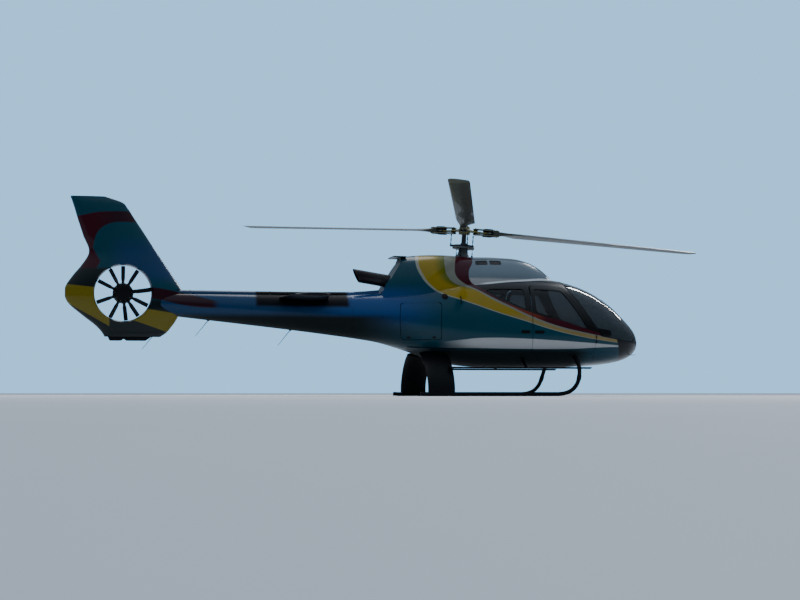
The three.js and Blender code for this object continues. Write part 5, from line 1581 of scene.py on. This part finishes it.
def seats():
    """Cushions, backs and headrests swollen by cloth pressure, then placed at every seat on plain boxed bases."""
    swell = bpy.context.scene.helicopter_sizes.cushion_swell
    pad = stuffed(pillow((0.500, 0.452, 0.092), 0.35), 0.012, 4.0, swell)
    back = stuffed(pillow((0.560, 0.452, 0.070), 0.30), 0.012, 4.0, swell)
    head = stuffed(pillow((0.185, 0.235, 0.062), 0.40), 0.008, 4.0, swell * 0.6)
    pad_points = seams(pad[0], [(1, -0.13), (1, 0.13), (0, -0.12)], 0.012, 0.008)
    back_points = seams(back[0], [(1, -0.13), (1, 0.13), (0, 0.12), (0, -0.10)], 0.010, 0.008)
    back_points = back_points * [0.98, 0.98, 1] + [0.310, 0, -0.045]
    back_points[:, 2] = np.maximum(back_points[:, 2], -0.0825)
    low = (FLOOR_TOP + 0.4) / 1000 - HOOK
    base_top = (FLOOR_TOP + 0.4 + SEAT["base"]) / 1000 - HOOK
    top = base_top + SEAT["cushion"] / 1000
    shell = [soft_box((0.02, -0.215, -0.094), (0.585, 0.215, -0.083), 0.005, 2)]
    shell += [rod((0.57, y, -0.06), (0.66, y, -0.055), 0.006, 10) for y in (-0.07, 0.07)]
    straps = [sweep(smooth_path([(0.60, y, -0.0125), (0.45, y, 0.001), (0.28, y * 1.05, 0.004),
                                 (0.08, y * 1.3, -0.004)], 6), 0.022, 8, 0.06) for y in (-0.075, 0.075)]
    for row, (x, places, half) in SEAT_ROWS.items():
        wide, x, half = half / 245, x / 1000, half / 1000
        bases, shells, belts = [], [], []
        for number, y in enumerate(places):
            y /= 1000
            name = f"{row}_seat_{number + 1}_"

            def upright(p):
                stood = np.column_stack([p[:, 2], p[:, 1] * wide, p[:, 0]])
                return turned(stood, -SEAT["lean"] * DEG, 1) + [x, y, top - 0.060]
            points = pad_points * [0.96, wide * 0.98, 0.98] + [x + 0.200, y, base_top + 0.062]
            points[:, 2] = np.maximum(points[:, 2], base_top + 0.0125)
            cushion(name + "cushion", points, pad[1])
            cushion(name + "back", upright(back_points), [f[::-1] for f in back[1]])
            cushion(name + "headrest", upright(head[0] + [0.695, 0, -0.050]), [f[::-1] for f in head[1]])
            bases.append(soft_box((x - 0.050, y - half + 0.01, base_top - 0.012),
                                  (x + SEAT["depth"] / 1000 - 0.02, y + half - 0.01, base_top + 0.012), 0.008, 2))
            shells += [moved(part, upright) for part in shell]
            belts += [moved(strap, upright) for strap in straps]
        bases.append(soft_box((x - 0.020, places[0] / 1000 - 0.06, low),
                              (x + 0.330, places[-1] / 1000 + 0.06, base_top - 0.010), 0.012, 3))
        show(f"{row}_seat_bases", bases, "panel_grey", replaces=f"{row}_seats")
        show(f"{row}_seat_shells", shells, "trim")
        show(f"{row}_seat_belts", belts, "carpet")


def cockpit():
    """Panel hood, blank screens and dials, centre pedestal, pedals and sticks."""
    pod = prism([[2430, 1000], [2490, 1290], [2760, 1250], [2800, 1000]], -398, 398, 30)
    pedestal = soft_box(metres([2332, -148, 715.6]), metres([2698, 148, 1010]), 0.015, 3)
    show("instrument_pod", creased(carved(pod, (ADD, pedestal))), "trim", replaces="instrument_panel")

    def on_panel(surface):
        return moved(surface, lambda p: turned(p, math.atan2(60, 290), 1) + metres([2428, 0, 1000]))
    bezels, screens = [], []
    for y in (-0.27, 0.0, 0.27):
        bezels.append(on_panel(soft_box((-0.012, y - 0.110, 0.085), (0.002, y + 0.110, 0.250), 0.005, 2)))
        screens.append(on_panel(soft_box((-0.0145, y - 0.096, 0.100), (-0.010, y + 0.096, 0.236), 0.002, 1)))
    dials = [on_panel(lathe_at([0, y, 0.045], (-1, 0, 0), [(0.030, -0.004), (0.030, 0.006), (0.025, 0.009)], 28))
             for y in (-0.36, -0.27, -0.18, -0.05, 0.05, 0.18, 0.27, 0.36)]
    knobs = [lathe_at([2.333, y, z - HOOK], (-1, 0, 0), [(0.010, 0), (0.010, 0.012), (0.007, 0.015)], 14)
             for y in (-0.09, -0.03, 0.03, 0.09) for z in (0.78, 0.84, 0.90, 0.96)]
    show("panel_bezels", bezels + knobs, "panel_grey")
    show("panel_screens", screens, "screen")
    show("panel_dials", dials, "dial")
    controls = []
    for y in (-0.6, 0.6):
        lever = math.copysign(0.31, y)
        for line, steps, radius, flat in (
                ([(1.92, y, 0.002), (1.93, y, 0.16), (1.90, y, 0.34), (1.87, y, 0.46), (1.88, y, 0.52)], 8, 0.011, 1),
                ([(1.868, y, 0.44), (1.874, y, 0.50), (1.888, y, 0.555)], 6, 0.019, 0.8),
                ([(1.35, lever, 0.002), (1.40, lever, 0.12), (1.52, lever, 0.20), (1.68, lever, 0.31)], 6, 0.013, 1)):
            controls.append(sweep(smooth_path(line, steps), radius, 14, flat))
        for foot in (y - 0.10, y + 0.10):
            controls.append(soft_box((2.22, foot - 0.045, 0.10), (2.235, foot + 0.045, 0.23), 0.006, 2))
            controls.append(rod((2.235, foot, 0.16), (2.32, foot, 0.002), 0.008, 10))
    show("flight_controls", [moved(part, lambda p: p + metres([0, 0, FLOOR_TOP])) for part in controls], "trim")
    for node, finish in (("cabin_floor", "carpet"), ("rear_bulkhead", "lining"), ("engine", "casting"),
                         ("gearbox", "casting")):
        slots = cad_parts[node].data.materials
        slots.clear()
        slots.append(MATERIALS[finish])


def lamps():
    """Landing lamp, navigation lamps and tail lamp."""
    lens = carved(body_solid(0.003), (KEEP, lamp_bore(LAMP["radius"] - 0.4)), (CUT, body_solid(0.010)))
    show("lamp_lens", shade(lens, BODY.level), ["lamp_glass"] * 3, replaces="landing_light")
    x, _, z = metres([LAMP["x"], 0, LAMP["z"]])
    bowl = lathe_at([x + 0.003, 0, z], (1, 0, 0), [(0.012, 0.0), (0.045, 0.010), (0.062, 0.030), (0.0685, 0.048),
                                                 (0.0685, 0.052), (0.060, 0.032), (0.042, 0.014), (0.012, 0.006)], 40)
    bulb = lathe_at([x + 0.010, 0, z], (1, 0, 0), [(0.006, 0), (0.011, 0.008), (0.011, 0.022), (0.005, 0.030)], 20)
    show("lamp_bowl", [bowl, bulb], "reflector")
    tail_lamp = lathe_at([-7.3, 0, 3.58 - HOOK], (-1, 0, 0.1), [(0.018, -0.02), (0.018, 0.004), (0.010, 0.014)], 20)
    show("tail_lamp", tail_lamp, "lamp_glass")
    for side, lens in (("left", "red_lens"), ("right", "green_lens")):
        tip = lathe_at([-2.95, SIDES[side] * 1.345, 1.805 - HOOK], (0.25, SIDES[side], 0),
                       [(0.024, -0.03), (0.024, 0.004), (0.016, 0.014), (0.006, 0.018)], 20)
        show(f"navigation_lamp_{side}", tip, lens)


def whip(foot, reach, rings=14):
    """A tapering rod from its foot."""
    return sweep(np.linspace(foot, np.add(foot, reach), rings), np.linspace(0.007, 0.0035, rings), 10)


# ---------------------------------------------------------------- lamps, aerials and fittings

def fittings():
    """Aerials, pitot tubes and wipers."""
    long = bpy.context.scene.helicopter_sizes.aerial_length
    whips = [whip([-5.78, 0, 1.150 - HOOK], [-0.24, 0, -0.30], 12)]
    for x in (-3.32, -4.83):
        foot = [x, 0, BOOM.rows(x)[0][0] + 0.004]
        whips.append(whip(foot, [-0.62 * long, 0, -0.78 * long]))
        whips.append(lathe_at(foot, (0, 0, -1), [(0.030, -0.006), (0.030, 0.004), (0.018, 0.012), (0.009, 0.020)], 20))
    show("whip_aerials", whips, "black_alloy")
    k, turn, foot = np.linspace(0, 1, 4)[:, None], turns(28), BODY.rows(0.95)[0][0] + 0.008
    blade = grid(0.95 - 0.06 * k + (0.07 - 0.03 * k) * np.cos(turn), (0.007 - 0.003 * k) * np.sin(turn),
                 foot - k * 0.02)
    show("blade_aerial", loft(blade), "black_alloy")
    pitots, wipers = [], []
    for side in (1, -1):
        foot = np.array([3.10, side * BODY.flank(3.10, 0.80 - HOOK)[0], 0.80 - HOOK])
        line = [foot + [x, side * y, z] for x, y, z in ((0, -0.004, 0), (0.006, 0.028, -0.012), (0.03, 0.045, -0.018),
                                                        (0.13, 0.045, -0.018))]
        pitots.append(sweep(smooth_path(line, 6), 0.0065, 12))
        x, y = np.linspace([3.14, 0.09], [2.64, 0.19], 16).T
        wipers.append(sweep(grid(x, side * y, BODY.roof(x, y) + 0.010), 0.005, 8, 0.6))
        wipers.append(lathe_at([3.14, side * 0.09, BODY.roof(3.14, 0.09)[0] - 0.002], (0.7, 0, 0.7),
                               [(0.014, -0.01), (0.014, 0.010), (0.009, 0.016)], 16))
    show("pitot_tubes", pitots, "steel")
    show("wipers", wipers, "black_alloy")


# ---------------------------------------------------------------- stage

def stage():
    """Pale floor, soft lights and the camera."""
    scene = bpy.context.scene
    sizes = scene.helicopter_sizes
    floor = bpy.data.meshes.new("floor")
    round_edge = sizes.floor_reach * grid(np.cos(turns(96)), np.sin(turns(96)), 0) - [0, 0, HOOK]
    floor.from_pydata(round_edge, [], [range(96)])
    floor.materials.append(MATERIALS["stage"])
    obj = bpy.data.objects.new("floor", floor)
    scene.collection.objects.link(obj)
    world = bpy.data.worlds.new("studio")
    world.use_nodes = True
    w = Wiring(world.node_tree)
    back = world.node_tree.nodes["Background"].inputs
    height = w.split(w.put("ShaderNodeTexCoord"))[2]
    around = w.blend(w.ease(height, 0.02, 0.75), (0.07, 0.08, 0.09, 1), (0.50, 0.60, 0.74, 1))
    shown = w.math("MAXIMUM", w.put("ShaderNodeLightPath"), w.put("ShaderNodeLightPath", out=6))
    w.feed(back["Color"], w.blend(shown, around, (0.38, 0.80, 1.25, 1)))
    w.feed(back["Strength"], sizes.sky_strength)
    scene.world = world
    for name, place, wide, tall, power, roll in (
            ("key", (-4, 7, 15), 12, 12, sizes.key_power, 0), ("fill", (7, -14, 9), 10, 10, 260.0, 0),
            ("gleam", (14.8, 12.8, 12.6), 3, 9, 3500.0, -0.46)):
        light = bpy.data.lights.new(name, "AREA")
        light.shape = "ELLIPSE"
        light.size, light.size_y, light.energy = wide, tall, power
        lamp = bpy.data.objects.new(name, light)
        lamp.location = place
        lamp.rotation_euler = (Vector((-1.9, 0, 1.3)) - Vector(place)).to_track_quat("-Z", "Y").to_euler()
        lamp.rotation_euler.rotate_axis("Z", roll)
        lamp.visible_glossy = name != "fill"
        lamp.visible_diffuse = name != "gleam"
        scene.collection.objects.link(lamp)
    camera = bpy.data.cameras.new("photograph view")
    camera.lens = sizes.lens
    camera.sensor_width = 36
    camera.clip_end = 800
    eye = bpy.data.objects.new("photograph view", camera)
    eye.location = sizes.camera_place
    eye.rotation_euler = (Vector(sizes.camera_aim) - eye.location).to_track_quat("-Z", "Y").to_euler()
    scene.collection.objects.link(eye)
    scene.camera = eye


# ---------------------------------------------------------------- add-on

def colour_property(name, description, red, green, blue):
    return bpy.props.FloatVectorProperty(name=name, description=description, subtype="COLOR", size=4, min=0, max=1,
                                         default=linear(red, green, blue))


def length_property(name, description, default, **limits):
    return bpy.props.FloatProperty(name=name, description=description, default=default, subtype="DISTANCE",
                                   unit="LENGTH", **limits)


def place_property(name, description, default):
    return bpy.props.FloatVectorProperty(name=name, description=description, size=3, default=default,
                                         subtype="TRANSLATION", unit="LENGTH")


class HelicopterPaint(bpy.types.PropertyGroup):
    body: colour_property("Body", "Teal of the cabin, cowling and fin", 4, 54, 67)
    boom: colour_property("Rear body", "Brighter blue behind the cabin", 0, 58, 108)
    boom_end: colour_property("Boom", "Dark blue of the boom and the fin's middle", 0, 48, 82)
    # Painted shade under the belly and the boom, darker than the paint above it
    painted_underside_shade: colour_property("Belly", "Dark underside", 15, 25, 25)
    patch: colour_property("Boom patch", "Dark paint around the stabiliser's root", 2, 4, 10)
    silver: colour_property("Silver", "Roof's sides and the band along the sill", 158, 158, 158)
    cowl: colour_property("Cowling grey", "Front cowling", 100, 114, 122)
    pinstripe: colour_property("Pinstripe", "Pale line behind the gold", 128, 130, 116)
    grey_band: colour_property("Grey band", "Line between the gold and the dark red", 106, 109, 99)
    gold: colour_property("Gold", "Wide swoop over the engine cowling", 128, 108, 4)
    olive: colour_property("Olive", "Gold's darker front part", 78, 84, 8)
    tan: colour_property("Tan", "Thin line below the windows", 124, 108, 66)
    tail_gold: colour_property("Tail gold", "Darker gold of the shroud's bands", 104, 92, 8)
    maroon: colour_property("Maroon", "Dark red line ahead of the gold", 52, 0, 16)
    maroon_dark: colour_property("Dark maroon", "Dark red at the boom's end and on the fin", 34, 0, 14)
    orange: colour_property("Orange", "Red line's bright part below the rear window", 98, 32, 14)
    surround: colour_property("Surround", "Black around the windows and nose", 5, 6, 7)
    white: colour_property("White", "Line along the roof's edge", 222, 228, 230)
    green: colour_property("Shroud green", "Dark green-black of the shroud's lower half", 1, 16, 18)


class HelicopterSizes(bpy.types.PropertyGroup):
    seal_width: length_property("Seal width", "Width of the rubber around the windows", 0.012, min=0.004, max=0.03)
    cushion_swell: length_property("Cushion swell", "Furthest a cushion's cloth may move", 0.016, min=0.0, max=0.03)
    aerial_length: length_property("Aerial length", "Length of the whips below the boom", 0.38, min=0.1, max=0.6)
    floor_reach: length_property("Floor reach", "From the floor's middle to its edge", 250.0, min=10.0)
    sky_strength: bpy.props.FloatProperty(name="Surround light", description="Strength of the light from all round",
                                          default=1.1, min=0.0)
    key_power: bpy.props.FloatProperty(name="Key light", description="Power of the main soft light", default=1500.0,
                                       min=0.0, subtype="POWER", unit="POWER")
    lens: bpy.props.FloatProperty(name="Lens", description="Focal length in millimetres", default=69.0, min=10.0,
                                  subtype="DISTANCE_CAMERA")
    camera_place: place_property("Camera", "Where the camera stands", (-7.18, -28.11, 0.06 - HOOK))
    camera_aim: place_property("Camera aim", "Point in the middle of the view", (-1.25, 0.0, 1.8 - HOOK))


class HELICOPTER_OT_materials(bpy.types.Operator):
    """Make the paints, metals, cloths, glass and rubber"""
    bl_idname = "helicopter.materials"
    bl_label = "Materials"

    def execute(self, context):
        materials()
        return {"FINISHED"}


class HELICOPTER_OT_fuselage(bpy.types.Operator):
    """Make the fuselage's skins, doors and panes"""
    bl_idname = "helicopter.fuselage"
    bl_label = "Fuselage, doors and glazing"

    def execute(self, context):
        fuselage()
        seals_and_handles()
        return {"FINISHED"}


class HELICOPTER_OT_cowlings(bpy.types.Operator):
    """Make both cowlings with their screens, and the exhaust"""
    bl_idname = "helicopter.cowlings"
    bl_label = "Cowlings and exhaust"

    def execute(self, context):
        cowlings()
        exhaust()
        return {"FINISHED"}


class HELICOPTER_OT_boom(bpy.types.Operator):
    """Make the boom, its shaft cover and the stabiliser halves"""
    bl_idname = "helicopter.boom"
    bl_label = "Boom and stabilisers"

    def execute(self, context):
        tail_boom()
        stabilisers()
        return {"FINISHED"}


class HELICOPTER_OT_tail(bpy.types.Operator):
    """Make the fin and shroud, and the fan with its gearbox"""
    bl_idname = "helicopter.tail"
    bl_label = "Fin, shroud and fan"

    def execute(self, context):
        tail()
        tail_fan()
        return {"FINISHED"}


class HELICOPTER_OT_main_rotor(bpy.types.Operator):
    """Make the blades, hub, mast, swashplates and links"""
    bl_idname = "helicopter.main_rotor"
    bl_label = "Main rotor"

    def execute(self, context):
        main_rotor()
        rotor_controls()
        return {"FINISHED"}


class HELICOPTER_OT_landing_gear(bpy.types.Operator):
    """Make the skids, faired legs and steps"""
    bl_idname = "helicopter.landing_gear"
    bl_label = "Landing gear"

    def execute(self, context):
        landing_gear()
        return {"FINISHED"}


class HELICOPTER_OT_cabin(bpy.types.Operator):
    """Make the seats, instrument panel and controls"""
    bl_idname = "helicopter.cabin"
    bl_label = "Cabin"

    def execute(self, context):
        cockpit()
        seats()
        return {"FINISHED"}


class HELICOPTER_OT_fittings(bpy.types.Operator):
    """Make the lamps, aerials, pitot tubes and wipers"""
    bl_idname = "helicopter.fittings"
    bl_label = "Fittings"

    def execute(self, context):
        lamps()
        fittings()
        return {"FINISHED"}


class HELICOPTER_OT_stage(bpy.types.Operator):
    """Make the floor, lights and camera"""
    bl_idname = "helicopter.stage"
    bl_label = "Stage"

    def execute(self, context):
        stage()
        return {"FINISHED"}


OPERATORS = (HELICOPTER_OT_stage, HELICOPTER_OT_materials, HELICOPTER_OT_fuselage, HELICOPTER_OT_cowlings,
             HELICOPTER_OT_boom, HELICOPTER_OT_tail, HELICOPTER_OT_main_rotor, HELICOPTER_OT_landing_gear,
             HELICOPTER_OT_cabin, HELICOPTER_OT_fittings)


class HELICOPTER_PT_sidebar(bpy.types.Panel):
    """Sizes, colours and the steps that make the pieces"""
    bl_label = "Helicopter"
    bl_idname = "HELICOPTER_PT_sidebar"
    bl_space_type = "VIEW_3D"
    bl_region_type = "UI"
    bl_category = "Helicopter"

    def draw(self, context):
        for group in (context.scene.helicopter_sizes, context.scene.helicopter_paint):
            box = self.layout.box()
            for name in group.__annotations__:
                box.prop(group, name)
        for operator in OPERATORS:
            self.layout.operator(operator.bl_idname)


CLASSES = (HelicopterPaint, HelicopterSizes, *OPERATORS, HELICOPTER_PT_sidebar)


def register():
    for cls in CLASSES:
        bpy.utils.register_class(cls)
    bpy.types.Scene.helicopter_paint = bpy.props.PointerProperty(type=HelicopterPaint)
    bpy.types.Scene.helicopter_sizes = bpy.props.PointerProperty(type=HelicopterSizes)


def unregister():
    del bpy.types.Scene.helicopter_sizes
    del bpy.types.Scene.helicopter_paint
    for cls in reversed(CLASSES):
        bpy.utils.unregister_class(cls)


def main():
    register()
    steps = bpy.ops.helicopter
    steps.materials()
    steps.stage()
    steps.fuselage()
    steps.cowlings()
    steps.boom()
    steps.tail()
    steps.main_rotor()
    steps.landing_gear()
    steps.cabin()
    steps.fittings()


if __name__ == "__main__":
    main()
